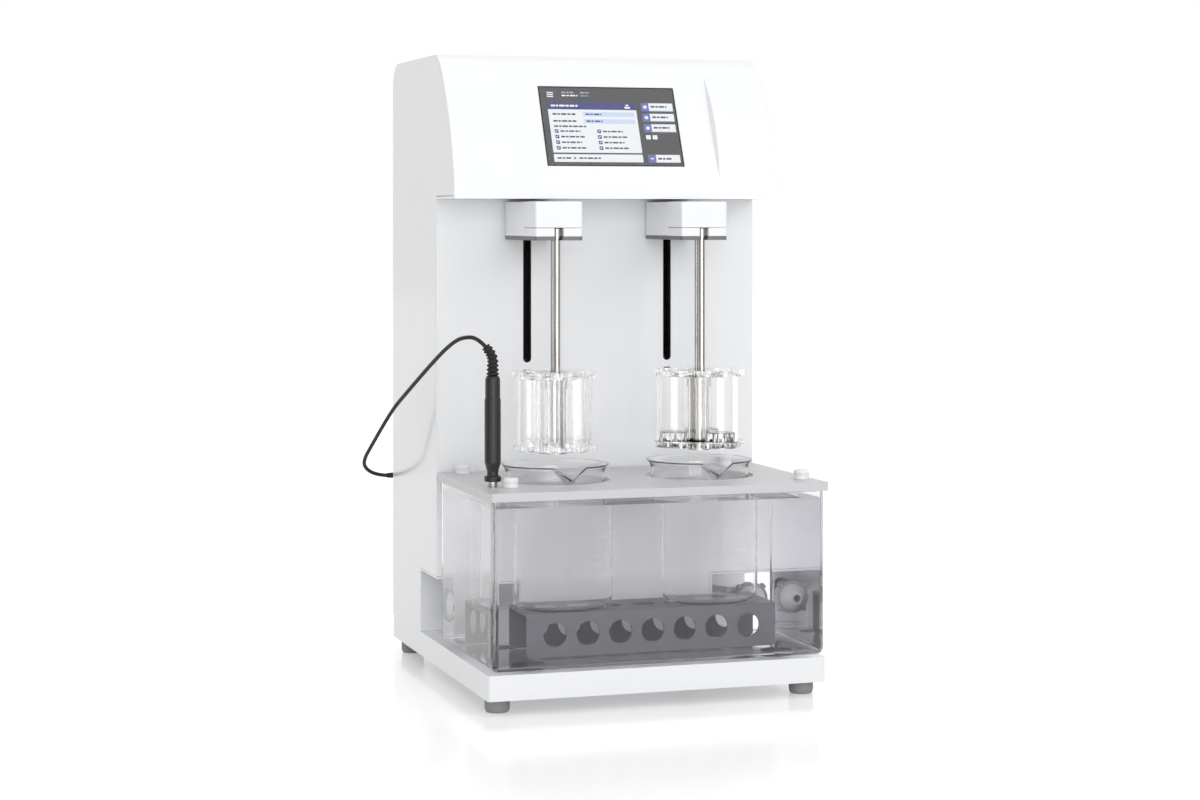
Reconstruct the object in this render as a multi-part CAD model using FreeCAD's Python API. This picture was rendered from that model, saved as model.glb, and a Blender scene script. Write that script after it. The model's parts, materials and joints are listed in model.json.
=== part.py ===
"""Tablet disintegration tester with two stations, a clear water bath and a touch screen head.

Millimetres. X runs to the right, Y to the back and Z up. The origin is the middle of the footprint at the
bottom of the feet. Every piece that moves is drawn at rest, with both lifts at the top.
"""

import FreeCAD
import Part
import math
import os

V = FreeCAD.Vector
X_AXIS = V(1, 0, 0)
Y_AXIS = V(0, 1, 0)
Z_AXIS = V(0, 0, 1)

# Overall size
body_width = 366.0
body_depth = 418.0
body_height = 677.0
cover_overhang = 9.0
side_gap = 0.3
overrun = 5.0

# Feet and base
foot_height = 15.0
foot_top_radius = 13.0
foot_bottom_radius = 11.5
foot_inset_side = 17.0
foot_inset_end = 27.0
base_height = 26.0
base_wall = 3.0
base_corner_radius = 4.0
base_plate_thickness = 2.0

# Column and head
column_setback = 211.0
casing_wall = 3.0
skin_wall = 3.0
head_height = 156.5
head_reach = 77.0
head_curve_shares = ((1.0, 0.0), (0.757, 0.47), (0.331, 0.843), (0.149, 0.944), (-0.04, 1.0))
back_top_radius = 26.0
facet_width = 232.0
facet_draft_deg = 15.0
facet_low_shares = (0.958, 0.139)
facet_high_shares = (0.295, 0.869)
slot_width = 7.5
slot_length = 175.0
slot_liner_wall = 0.8
slot_liner_depth = 10.0

# Hose recesses at the column's lower corners
recess_width = 73.0
recess_height = 71.0
recess_depth = 75.0
recess_wall = 2.5

# Screen
screen_width = 155.0
screen_height = 95.0
screen_centre_share = 0.5
screen_rim = 1.2
screen_rim_proud = 0.5
glass_thickness = 2.0
screen_frame_depth = 6.0
screen_window_margin = 6.0
screen_flange = 5.0
display_thickness = 7.0
standoff_radius = 3.0
standoff_length = 8.0
board_thickness = 1.6
chip_size = 14.0
chip_height = 1.5

# Lift stations
station_offset = 81.0
station_setback = 106.0
block_width = 52.0
block_depth = 118.7
block_back_gap = 2.3
block_head_gap = 3.0
block_height = 37.0
block_corner_radius = 3.0
block_plate_thickness = 4.0
clamp_length = 45.0
clamp_height = 9.0
clamp_gap = 0.2
head_recess = 2.0
hanger_head_radius = 4.75
hanger_head_height = 10.2
hanger_play = 0.15
thick_rod_radius = 3.75
thin_rod_radius = 2.0
thick_rod_offset = 7.0
thin_rod_offset = 9.0
pocket_height = 3.0
lift_travel = 125.0
arm_width = 6.0
arm_height = 30.0
carriage_width = 72.0
carriage_depth = 28.0
guide_spacing = 56.0
guide_radius = 4.0
running_clearance = 0.05
screw_setback = 44.0
screw_radius = 5.0
screw_journal_radius = 2.5
screw_collar_radius = 8.0
screw_collar_height = 4.0
shelf_thickness = 6.0
shelf_gap_top = 6.0
shelf_gap_bottom = 15.0
frame_plate_thickness = 4.0
frame_plate_gap = 3.0
motor_size = 42.0
motor_height = 40.0
motor_shaft_depth = 14.0

# Baskets: six narrow tubes on the left, three wide ones on the right
basket_top_gap = 138.0
basket_height = 77.5
tube_seat_depth = 5.0
tube_cap = 4.5
tube_play = 0.15
sieve_thickness = 1.5
flange_radius = 15.0
flange_thickness = 2.0
collar_radius = 11.0
collar_height = 10.0
centre_column_radius = 9.0
centre_neck_radius = 5.0
centre_nut_radius = 13.0
centre_nut_height = 3.0
set_screw_radius = 2.0
set_screw_depth = 1.0
tube_clearance = 0.4
basket_left = {
    "tubes": 6,
    "tube_outer_radius": 12.3,
    "tube_inner_radius": 11.0,
    "pitch_radius": 28.5,
    "plate_radius": 44.3,
    "disk_radius": 10.35,
    "disk_height": 9.5,
    "flute_radius": 1.3,
    "first_angle_deg": 0.0,
}
basket_right = {
    "tubes": 3,
    "tube_outer_radius": 18.7,
    "tube_inner_radius": 16.5,
    "pitch_radius": 29.0,
    "plate_radius": 48.25,
    "disk_radius": 15.7,
    "disk_height": 15.3,
    "flute_radius": 1.8,
    "first_angle_deg": 60.0,
}
disk_flutes = 8
sieve_hole = 2.4
sieve_pitch = 3.2

# Water bath
bath_side_gap = 3.0
bath_front_gap = 3.0
bath_back_gap = 5.0
bath_wall = 5.0
bath_glue = 0.1
bath_height = 171.6
bath_corner_radius = 8.0
pad_height = 3.0
pad_radius = 17.5
pad_inset_side = 45.0
pad_inset_end = 38.0
cover_thickness = 9.0
cover_back_gap = 2.0
cover_corner_radius = 4.0
cover_hole_radius = 57.5
knob_radius = 8.5
knob_height = 10.0
knob_edge_radius = 1.5
knob_places = (
    ("front_left", 36.0, 54.0),
    ("front_right", 15.0, 39.0),
    ("back_left", 24.0, 199.0),
    ("back_right", 41.0, 199.0),
)

# Beakers and the rack that they stand on
beaker_radius = 52.5
beaker_wall = 1.9
beaker_height = 147.0
beaker_foot_radius = 12.0
beaker_flare = 4.5
beaker_flare_height = 9.0
beaker_flare_mid_shares = (0.25, 0.62)
spout_reach = 12.5
spout_half_width = 16.0
spout_drop = 11.0
spout_height = 19.0
spout_tip = 1.2
rack_length = 273.0
rack_depth = 92.0
rack_height = 45.0
rack_shift = 6.0
rack_wall = 3.0
rack_corner_radius = 15.0
rack_hole_radius = 12.5
rack_hole_pitch = 35.3
rack_hole_count = 7
rack_hole_share = 0.5

# Hose couplings, hoses and the pump
coupling_height = 42.0
thread_radius = 9.8
coupling_play = 0.2
nut_radius = 18.0
nut_thickness = 10.0
nut_ear_count = 4
nut_ear_width = 5.0
nut_ear_reach = 3.0
nut_ear_turn_share = 0.5
nozzle_base_radius = 15.0
nozzle_tip_radius = 6.5
nozzle_length = 17.0
nozzle_hole_radius = 4.0
outer_flange_radius = 16.0
outer_flange_thickness = 3.0
barb_radius = 4.9
barb_length = 12.0
hose_bore_radius = 5.1
hose_crest_radius = 7.5
hose_root_radius = 6.3
hose_rib_pitch = 3.2
hose_end_play = 0.1
hose_shift = 21.7
port_radius = 8.0
port_reach = 6.0
port_play = 0.5
pump_width = 90.0
pump_height = 84.0
pump_front_gap = 14.0
pump_back_gap = 3.0
pipe_setback = 20.0

# Probe
probe_inset_side = 20.0
probe_setback = 55.0
probe_hole_radius = 2.5
needle_radius = 1.5
needle_length = 112.0
needle_collar_radius = 5.0
needle_collar_height = 5.6
handle_rings = (
    (8.7, 0.0),
    (8.7, 5.5),
    (5.8, 6.0),
    (5.8, 10.5),
    (8.4, 19.5),
    (8.4, 84.0),
    (7.9, 84.6),
    (7.9, 85.4),
    (7.7, 86.0),
    (7.7, 104.5),
    (6.4, 108.0),
)
boot_rise = 11.4
boot_bend_radius = 25.6
boot_bend_deg = 45.0
boot_heading_deg = 143.0
boot_bottom_radius = 4.6
boot_top_radius = 3.4
boot_rib_count = 6
boot_rib_pitch = 4.3
boot_rib_start = 1.2
boot_rib_radius = 6.5
boot_rib_taper = 1.3
boot_rib_thickness = 2.2
boot_rib_bevel = 0.7
boot_cap_length = 4.6
boot_slices = 12

# Cord from the boot to the plug
cord_radius = 2.1
cord_points = (
    (-176.9, -139.1, 377.6),
    (-187.5, -124.5, 377.0),
    (-191.8, -103.0, 371.5),
    (-195.5, -72.0, 360.0),
    (-198.8, -34.0, 344.5),
    (-201.5, 14.0, 325.5),
    (-204.3, 62.0, 306.0),
    (-207.5, 104.0, 288.0),
    (-211.5, 141.0, 265.2),
    (-215.5, 178.0, 241.0),
    (-218.5, 208.0, 221.5),
    (-214.5, 224.5, 210.0),
    (-200.0, 234.0, 200.3),
)
turn_share = 0.45

# Rear panel, inlet, switch, socket and plug
rear_margin_side = 23.0
rear_margin_top = 47.0
rear_margin_bottom = 22.0
rear_panel_thickness = 2.2
rear_panel_lap = 8.0
rear_screw_radius = 1.5
rear_screw_head_radius = 2.8
rear_screw_head_depth = 1.6
rear_screw_length = 7.0
rear_screw_rows = 4
inlet_inset = 65.0
electrics_height = 49.0
inlet_width = 27.4
inlet_height = 20.0
inlet_depth = 19.0
inlet_wall = 2.2
inlet_flange = 3.0
inlet_flange_thickness = 1.6
inlet_pin_spacing = 7.0
inlet_pin_rise = 3.0
inlet_pin_width = 2.0
inlet_pin_height = 4.0
inlet_pin_length = 14.0
switch_inset = 107.0
switch_width = 19.0
switch_height = 27.0
switch_depth = 16.0
switch_wall = 1.8
switch_flange = 2.0
rocker_radius = 10.9
rocker_play = 0.3
rocker_face = 6.4
rocker_tilt_deg = 9.0
rocker_pivot_radius = 1.2
rocker_pivot_length = 1.2
rocker_pivot_setback = 6.2
socket_inset = 33.0
socket_rise = 158.0
socket_radius = 6.0
socket_bore_radius = 3.5
socket_depth = 13.0
socket_flange_radius = 8.0
socket_flange_thickness = 1.4
plug_pin_radius = 3.3
plug_pin_length = 11.0
plug_radius = 5.5
plug_length = 22.0
plug_arm_length = 14.0
plug_relief_length = 22.0
plug_relief_share = 0.8
cord_grip_share = 1.25
supply_width = 150.0
supply_depth = 30.0
supply_height = 80.0
supply_side = 35.0

# Places worked out from the sizes above
half_width = body_width / 2
front_y = cover_overhang - (body_depth + cover_overhang) / 2
back_y = front_y + body_depth
deck_z = foot_height + base_height
column_y = front_y + column_setback
seam_y = column_y + skin_wall
head_bottom_z = body_height - head_height
station_y = front_y + station_setback
screw_y = column_y + screw_setback
bath_floor_z = deck_z + pad_height + bath_wall
bath_top_z = deck_z + pad_height + bath_height
cover_top_z = bath_top_z + cover_thickness
bath_width = body_width - 2 * bath_side_gap
bath_front_y = front_y - cover_overhang + bath_front_gap
bath_back_y = column_y - bath_back_gap
rack_top_z = bath_floor_z + rack_height
block_top_z = head_bottom_z - block_head_gap
block_bottom_z = block_top_z - block_height
block_back_y = column_y - block_back_gap
block_front_y = block_back_y - block_depth
plate_bottom_z = block_bottom_z - block_plate_thickness
hook_z = block_bottom_z - head_recess
thick_rod_y = station_y - thick_rod_offset
thin_rod_y = station_y + thin_rod_offset
basket_top_z = plate_bottom_z - basket_top_gap
tube_top_z = basket_top_z - tube_cap
tube_bottom_z = tube_top_z - basket_height
sieve_top_z = tube_bottom_z - tube_play
lower_plate_top_z = tube_bottom_z + tube_seat_depth
upper_plate_bottom_z = tube_top_z - tube_seat_depth / 2
hose_z = deck_z + coupling_height
coupling_offset = bath_width / 2 - bath_corner_radius - side_gap - nut_radius
port_offset = coupling_offset - hose_shift
recess_edge_x = half_width - recess_width
recess_back_y = column_y + recess_depth
probe_y = front_y + probe_setback
probe_x = probe_inset_side - half_width
handle_z = cover_top_z + needle_collar_height
rear_face_y = back_y - casing_wall
supply_back_y = rear_face_y - rear_panel_thickness - side_gap
supply_front_y = supply_back_y - supply_depth
inlet_side = half_width - inlet_inset
switch_side = half_width - switch_inset
socket_side = half_width - socket_inset
stations = (("left", -station_offset, basket_left), ("right", station_offset, basket_right))
sides = (-1, 1)


# Plain shapes
def box(x0, x1, y0, y1, z0, z1):
    return Part.makeBox(x1 - x0, y1 - y0, z1 - z0, V(x0, y0, z0))


def post(radius, z0, z1, x, y):
    return Part.makeCylinder(radius, z1 - z0, V(x, y, z0), Z_AXIS)


def bar_y(radius, y0, y1, x, z):
    return Part.makeCylinder(radius, y1 - y0, V(x, y0, z), Y_AXIS)


def bar_x(radius, x0, x1, y, z):
    return Part.makeCylinder(radius, x1 - x0, V(x0, y, z), X_AXIS)


def upright_edges(shape):
    return [e for e in shape.Edges if len(e.Vertexes) == 2 and is_upright(e)]


def is_upright(edge):
    a, b = (v.Point for v in edge.Vertexes)
    return abs(a.x - b.x) + abs(a.y - b.y) < abs(a.z - b.z) / body_height


def rounded_box(x0, x1, y0, y1, z0, z1, radius):
    block = box(x0, x1, y0, y1, z0, z1)
    return block.makeFillet(radius, upright_edges(block))


def turned(rings, x, y, z):
    """A solid turned about a vertical axis from (radius, height) pairs."""
    points = [V(0, 0, rings[0][1])] + [V(r, 0, h) for r, h in rings] + [V(0, 0, rings[-1][1])]
    face = Part.Face(Part.makePolygon(points + points[:1]))
    solid = face.revolve(V(0, 0, 0), Z_AXIS, 360)
    solid.translate(V(x, y, z))
    return solid


def fuse(shapes):
    return shapes[0].multiFuse(shapes[1:]).removeSplitter()


def spread(count, centre, pitch):
    return [centre + (i - (count - 1) / 2) * pitch for i in range(count)]


def ring_places(count, radius, first_deg):
    angles = [math.radians(first_deg + 360 / count * i) for i in range(count)]
    return [(radius * math.cos(a), radius * math.sin(a)) for a in angles]


def write(name, shapes):
    solids = shapes if isinstance(shapes, list) else [shapes]
    shape = solids[0] if len(solids) == 1 else Part.makeCompound(solids)
    shape.exportStep("parts/" + name + ".step")


# Side profile of the column and the head
def head_point(shares):
    return V(0, column_y - head_reach * shares[0], head_bottom_z + head_height * shares[1])


def profile_wire():
    p = [head_point(s) for s in head_curve_shares]
    corner = V(0, back_y - back_top_radius, body_height - back_top_radius)
    lean = back_top_radius * math.sqrt(0.5)
    before = V(0, corner.y, body_height)
    after = V(0, back_y, corner.z)
    middle = V(0, corner.y + lean, corner.z + lean)
    foot_back = V(0, back_y, deck_z)
    foot_front = V(0, column_y, deck_z)
    neck = V(0, column_y, head_bottom_z)
    edges = [
        Part.LineSegment(foot_front, neck),
        Part.LineSegment(neck, p[0]),
        Part.Arc(p[0], p[1], p[2]),
        Part.Arc(p[2], p[3], p[4]),
        Part.LineSegment(p[4], before),
        Part.Arc(before, middle, after),
        Part.LineSegment(after, foot_back),
        Part.LineSegment(foot_back, foot_front),
    ]
    return Part.Wire([e.toShape() for e in edges])


def profile_prism(inset, x0, x1):
    wire = profile_wire()
    if inset:
        wire = wire.makeOffset2D(-inset, 2)
    face = Part.Face(wire)
    face.translate(V(x0, 0, 0))
    return face.extrude(V(x1 - x0, 0, 0))


# Flat facet in the head's front, with its own frame: across, up the slope and outwards
def facet_frame():
    low = head_point(facet_low_shares)
    rise = head_point(facet_high_shares) - low
    length = rise.Length
    rise.normalize()
    outward = X_AXIS.cross(rise)
    return low, rise, outward, length


def facet_box(x0, x1, t0, t1, n0, n1):
    low, rise, outward, length = facet_frame()
    block = Part.makeBox(x1 - x0, t1 - t0, n1 - n0, V(x0, t0, n0))
    block.Placement = FreeCAD.Placement(low, FreeCAD.Rotation(X_AXIS, rise, outward, "XYZ"))
    return block


def facet_cutter(inset):
    low, rise, outward, length = facet_frame()
    half = facet_width / 2 + inset
    height = head_reach
    flare = height * math.tan(math.radians(facet_draft_deg))
    corners = [(-half, -inset), (half, -inset), (half + flare, height), (-half - flare, height)]
    start = low - rise * length
    points = [start + X_AXIS * x + outward * n for x, n in corners]
    face = Part.Face(Part.makePolygon(points + points[:1]))
    return face.extrude(rise * (3 * length))


def screen_centre():
    return facet_frame()[3] * screen_centre_share


def screen_box(margin, n0, n1):
    mid = screen_centre()
    half_w = screen_width / 2 + margin
    half_h = screen_height / 2 + margin
    return facet_box(-half_w, half_w, mid - half_h, mid + half_h, n0, n1)


# Base
def make_base():
    shell = rounded_box(-half_width, half_width, front_y, back_y, foot_height, deck_z, base_corner_radius)
    inner = half_width - base_wall
    cavity = box(-inner, inner, front_y + base_wall, back_y - base_wall, foot_height, deck_z - base_wall)
    write("base_shell", shell.cut(cavity))
    reach = inner - side_gap
    near = front_y + base_wall + side_gap
    far = back_y - base_wall - side_gap
    top = foot_height + base_plate_thickness
    write("base_bottom_plate", box(-reach, reach, near, far, foot_height, top))


def make_feet():
    feet = []
    for side in sides:
        for y in (front_y + foot_inset_end, back_y - foot_inset_end):
            x = side * (half_width - foot_inset_side)
            rings = ((foot_bottom_radius, 0), (foot_top_radius, foot_height))
            feet.append(turned(rings, x, y, 0))
    write("rubber_feet", feet)


# Column, head and panels
def recess_cut(side, play):
    inner = recess_edge_x - play
    outer = half_width + overrun
    x0, x1 = sorted((side * inner, side * outer))
    top = deck_z + recess_height + play
    return box(x0, x1, column_y - overrun, recess_back_y + play, deck_z - overrun, top)


def rear_opening(lap, y0, y1):
    reach = half_width - rear_margin_side + lap
    bottom = deck_z + rear_margin_bottom - lap
    return box(-reach, reach, y0, y1, bottom, body_height - rear_margin_top + lap)


def rear_screw_places():
    reach = half_width - rear_margin_side + rear_panel_lap / 2
    low = deck_z + rear_margin_bottom + rear_panel_lap
    high = body_height - rear_margin_top - rear_panel_lap
    rows = [low + (high - low) * i / (rear_screw_rows - 1) for i in range(rear_screw_rows)]
    return [(side * reach, z) for side in sides for z in rows]


def make_casing():
    casing = profile_prism(0, -half_width, half_width)
    room = profile_prism(casing_wall, casing_wall - half_width, half_width - casing_wall)
    wide = half_width + overrun
    skin = profile_prism(0, -wide, wide).cut(profile_prism(skin_wall + side_gap, -wide, wide))
    below = deck_z - overrun
    seam = seam_y + side_gap
    zone = box(-wide, wide, front_y, seam, deck_z + side_gap, body_height + overrun)
    column_foot = box(-wide, wide, front_y, seam, below, deck_z + skin_wall)
    floor = half_width - casing_wall
    open_floor = box(-floor, floor, column_y - overrun, back_y - casing_wall, below, deck_z + overrun)
    hatch = rear_opening(0, back_y - 2 * casing_wall, back_y + overrun)
    cuts = [room, skin.common(zone), open_floor, hatch, column_foot]
    cuts += [recess_cut(side, 0) for side in sides]
    for x, z in rear_screw_places():
        hole = rear_screw_radius + side_gap
        cuts.append(bar_y(hole, back_y - 2 * casing_wall, back_y + overrun, x, z))
        head = rear_screw_head_radius + side_gap
        cuts.append(bar_y(head, back_y - rear_screw_head_depth, back_y + overrun, x, z))
    write("column_casing", casing.cut(cuts))


def make_head_cover():
    outer = profile_prism(0, -half_width, half_width).cut(facet_cutter(0))
    wide = half_width + overrun
    inner = profile_prism(skin_wall, -wide, wide).cut(facet_cutter(skin_wall))
    zone = box(-half_width, half_width, front_y, seam_y, head_bottom_z, body_height + overrun)
    opening = screen_box(side_gap, -2 * skin_wall, 2 * skin_wall)
    write("head_cover", outer.common(zone).cut([inner, opening]))


def slot_shape(x, grow, y0, y1):
    radius = slot_width / 2 + grow
    top = block_top_z - slot_width / 2
    bottom = block_top_z - slot_length + slot_width / 2
    body = box(x - radius, x + radius, y0, y1, bottom, top)
    return fuse([body, bar_y(radius, y0, y1, x, bottom), bar_y(radius, y0, y1, x, top)])


def make_front_panel():
    panel = box(-half_width, half_width, column_y, seam_y, deck_z, head_bottom_z)
    cuts = [recess_cut(side, 0) for side in sides]
    for name, x, basket in stations:
        cuts.append(slot_shape(x, slot_liner_wall, column_y - overrun, seam_y + overrun))
    write("column_front_panel", panel.cut(cuts))


def make_slot_liners():
    liners = []
    back = seam_y + slot_liner_depth
    for name, x, basket in stations:
        outer = slot_shape(x, slot_liner_wall, column_y + side_gap, back)
        liners.append(outer.cut(slot_shape(x, 0, column_y - overrun, back + overrun)))
    write("slot_liners", liners)


def make_recesses():
    liners = []
    for side in sides:
        outer = recess_cut(side, -side_gap)
        outer = outer.common(box(-half_width, half_width, column_y, back_y, deck_z, body_height))
        inner = recess_edge_x + side_gap + recess_wall
        x0, x1 = sorted((side * inner, side * (half_width + overrun)))
        back = recess_back_y - side_gap - recess_wall
        top = deck_z + recess_height - side_gap - recess_wall
        room = box(x0, x1, column_y - overrun, back, deck_z - overrun, top)
        hole = bar_y(port_radius + port_play, back - overrun, back_y, side * port_offset, hose_z)
        liners.append(outer.cut([room, hole]))
    write("hose_recesses", liners)


def make_rear_panel():
    panel = rear_opening(rear_panel_lap, rear_face_y - rear_panel_thickness, rear_face_y)
    y0 = rear_face_y - overrun
    y1 = rear_face_y + overrun
    cuts = [bar_y(rear_screw_radius + side_gap, y0, y1, x, z) for x, z in rear_screw_places()]
    cuts.append(plate_hole(inlet_side, inlet_width, inlet_height, y0, y1))
    cuts.append(plate_hole(switch_side, switch_width, switch_height, y0, y1))
    cuts.append(bar_y(socket_radius + side_gap, y0, y1, -socket_side, deck_z + socket_rise))
    write("rear_panel", panel.cut(cuts))


def plate_hole(x, width, height, y0, y1):
    half = width / 2 + side_gap
    z = deck_z + electrics_height
    return box(x - half, x + half, y0, y1, z - height / 2 - side_gap, z + height / 2 + side_gap)


def make_casing_screws():
    screws = []
    for x, z in rear_screw_places():
        head = bar_y(rear_screw_head_radius, back_y - rear_screw_head_depth, back_y - side_gap, x, z)
        shank = bar_y(rear_screw_radius, back_y - rear_screw_length, back_y - rear_screw_head_depth, x, z)
        screws.append(fuse([head, shank]))
    write("casing_screws", screws)


# Screen and the boards behind it
def make_screen():
    glass_back = screen_rim_proud - side_gap - glass_thickness
    frame = screen_box(0, -screen_frame_depth, screen_rim_proud)
    flange = screen_box(screen_flange, -screen_frame_depth, -skin_wall)
    pocket = screen_box(-screen_rim, glass_back, screen_rim_proud + overrun)
    window = screen_box(-screen_window_margin, -screen_frame_depth - overrun, overrun)
    write("screen_frame", fuse([frame, flange]).cut([pocket, window]))
    write("touch_screen", screen_box(-screen_rim - side_gap / 2, glass_back, screen_rim_proud - side_gap))


def make_display():
    back = -screen_frame_depth - display_thickness
    low, rise, outward, length = facet_frame()
    body = screen_box(-screen_window_margin / 2, back, -screen_frame_depth)
    posts = []
    half_w = screen_width / 2 - 2 * screen_window_margin
    half_h = screen_height / 2 - 2 * screen_window_margin
    for i in sides:
        for j in sides:
            foot = low + X_AXIS * (i * half_w) + rise * (screen_centre() + j * half_h)
            start = foot + outward * (back - standoff_length)
            posts.append(Part.makeCylinder(standoff_radius, standoff_length, start, outward))
    write("display_module", fuse([body] + posts))
    board_top = back - standoff_length
    board = screen_box(-screen_window_margin, board_top - board_thickness, board_top)
    chips = []
    half = chip_size / 2
    mid = screen_centre()
    chip_top = board_top - board_thickness
    chip_low = chip_top - chip_height
    for x in spread(3, 0, 2 * chip_size):
        chips.append(facet_box(x - half, x + half, mid - half, mid + half, chip_low, chip_top))
    write("control_board", fuse([board] + chips))


# Lifts
def rod_slot(x, half, y_end, z0, z1):
    lead = box(x - half, x + half, block_front_y - overrun, y_end, z0, z1)
    return fuse([lead, post(half, z0, z1, x, y_end)])


def make_block(name, x):
    half = block_width / 2
    body = box(x - half, x + half, block_front_y, block_back_y, block_bottom_z, block_top_z)
    body = body.makeFillet(block_corner_radius, upright_edges(body))
    step_y = block_front_y + clamp_length
    step_z = block_bottom_z + clamp_height + clamp_gap
    step = box(x - half - overrun, x + half + overrun, block_front_y - overrun, step_y, 0, step_z)
    pocket_half = hanger_head_radius + hanger_play + side_gap
    pocket_front = thick_rod_y - hanger_head_radius - hanger_play
    pocket_back = thin_rod_y + hanger_head_radius + hanger_play
    pocket = box(x - pocket_half, x + pocket_half, pocket_front, pocket_back, 0, step_z + pocket_height)
    write("drive_block_" + name, body.cut([step, pocket]))


def make_block_plate(name, x):
    half = block_width / 2
    top = block_bottom_z
    plate = rounded_box(
        x - half, x + half, block_front_y, block_back_y, plate_bottom_z, top, block_corner_radius
    )
    slot = rod_slot(x, thick_rod_radius + hanger_play, thin_rod_y, plate_bottom_z - overrun, top + overrun)
    seat = hanger_head_radius + hanger_play
    seats = [post(seat, hook_z, top + overrun, x, y) for y in (thick_rod_y, thin_rod_y)]
    write("block_plate_" + name, plate.cut([slot] + seats))


def make_clamp(name, x):
    half = block_width / 2
    back = block_front_y + clamp_length - clamp_gap
    top = block_bottom_z + clamp_height
    body = box(x - half, x + half, block_front_y, back, block_bottom_z, top)
    front_edges = [e for e in upright_edges(body) if e.CenterOfMass.y < block_front_y + clamp_gap]
    body = body.makeFillet(block_corner_radius, front_edges)
    half_slot = hanger_head_radius + hanger_play
    slot = rod_slot(x, half_slot, thin_rod_y, block_bottom_z - overrun, top + overrun)
    write("hanger_clamp_" + name, body.cut(slot))


def arm_top():
    return block_top_z - (block_height - arm_height) / 2


def make_carriage(name, x):
    top = arm_top()
    bottom = top - arm_height
    arm = box(x - arm_width / 2, x + arm_width / 2, block_back_y, screw_y, bottom, top)
    half = carriage_width / 2
    body = box(x - half, x + half, screw_y - carriage_depth / 2, screw_y + carriage_depth / 2, bottom, top)
    holes = [post(screw_radius + running_clearance, bottom - overrun, top + overrun, x, screw_y)]
    for gx in spread(2, x, guide_spacing):
        holes.append(post(guide_radius + running_clearance, bottom - overrun, top + overrun, gx, screw_y))
    write("lift_carriage_" + name, fuse([arm, body]).cut(holes))


def shelf_heights():
    upper = arm_top() + shelf_gap_top
    lower = arm_top() - arm_height - lift_travel - shelf_gap_bottom
    return lower, upper


def make_drive_frame():
    lower, upper = shelf_heights()
    reach = half_width - casing_wall - side_gap
    front = screw_y - motor_size / 2 - frame_plate_gap
    plate_y = screw_y + motor_size / 2 + frame_plate_gap
    bottom = lower - shelf_thickness
    top = upper + shelf_thickness
    back = box(-reach, reach, plate_y, plate_y + frame_plate_thickness, bottom, top)
    low_shelf = box(-reach, reach, front, plate_y, bottom, lower)
    high_shelf = box(-reach, reach, front, plate_y, upper, top)
    bearing = screw_journal_radius + running_clearance
    holes = [post(bearing, bottom - overrun, top + overrun, x, screw_y) for n, x, b in stations]
    write("drive_frame", fuse([back, low_shelf, high_shelf]).cut(holes))
    rods = []
    for name, x, basket in stations:
        rods += [post(guide_radius, lower, upper, gx, screw_y) for gx in spread(2, x, guide_spacing)]
    write("guide_rods", rods)


def make_screw(name, x):
    lower, upper = shelf_heights()
    foot = lower + side_gap
    body = post(screw_radius, foot, upper - side_gap, x, screw_y)
    collar = post(screw_collar_radius, foot, foot + screw_collar_height, x, screw_y)
    shaft_top = upper + shelf_thickness + motor_shaft_depth
    journal = post(screw_journal_radius, lower - shelf_thickness, shaft_top, x, screw_y)
    write("lead_screw_" + name, fuse([body, collar, journal]))


def make_motors():
    lower, upper = shelf_heights()
    motors = []
    half = motor_size / 2
    bottom = upper + shelf_thickness
    bore_radius = screw_journal_radius + running_clearance
    bore_top = bottom + motor_shaft_depth + side_gap
    for name, x, basket in stations:
        body = box(x - half, x + half, screw_y - half, screw_y + half, bottom, bottom + motor_height)
        body = body.makeChamfer(block_corner_radius, upright_edges(body))
        motors.append(body.cut(post(bore_radius, bottom - overrun, bore_top, x, screw_y)))
    write("lift_motors", motors)


# Baskets
def tube_places(x, basket, y):
    ring = ring_places(basket["tubes"], basket["pitch_radius"], basket["first_angle_deg"])
    return [(x + dx, y + dy) for dx, dy in ring]


def tube_posts(x, basket, radius, z0, z1):
    return [post(radius, z0, z1, tx, ty) for tx, ty in tube_places(x, basket, station_y)]


def make_hanger(name, x, basket):
    flange_top = upper_plate_bottom_z
    collar_top = flange_top - flange_thickness
    collar_bottom = collar_top - collar_height
    flange = post(flange_radius, collar_top, flange_top, x, station_y)
    collar = post(collar_radius, collar_bottom, collar_top, x, station_y)
    centre = post(centre_column_radius, lower_plate_top_z, collar_bottom, x, station_y)
    neck = post(centre_neck_radius, sieve_top_z - sieve_thickness, lower_plate_top_z, x, station_y)
    nut_top = sieve_top_z - sieve_thickness
    nut = post(centre_nut_radius, nut_top - centre_nut_height, nut_top, x, station_y)
    rods = []
    for y, radius in ((thick_rod_y, thick_rod_radius), (thin_rod_y, thin_rod_radius)):
        rods.append(post(radius, collar_bottom, hook_z, x, y))
        rods.append(post(hanger_head_radius, hook_z, hook_z + hanger_head_height, x, y))
    clear_radius = basket["tube_outer_radius"] + tube_clearance
    clear = tube_posts(x, basket, clear_radius, lower_plate_top_z, flange_top + overrun)
    hub = fuse([flange, collar, centre]).cut(clear)
    front = station_y - collar_radius
    middle_z = collar_top - collar_height / 2
    set_screw = bar_y(set_screw_radius, front - overrun, front + set_screw_depth, x, middle_z)
    write("basket_hanger_" + name, fuse([hub, neck, nut] + rods).cut(set_screw))


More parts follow.
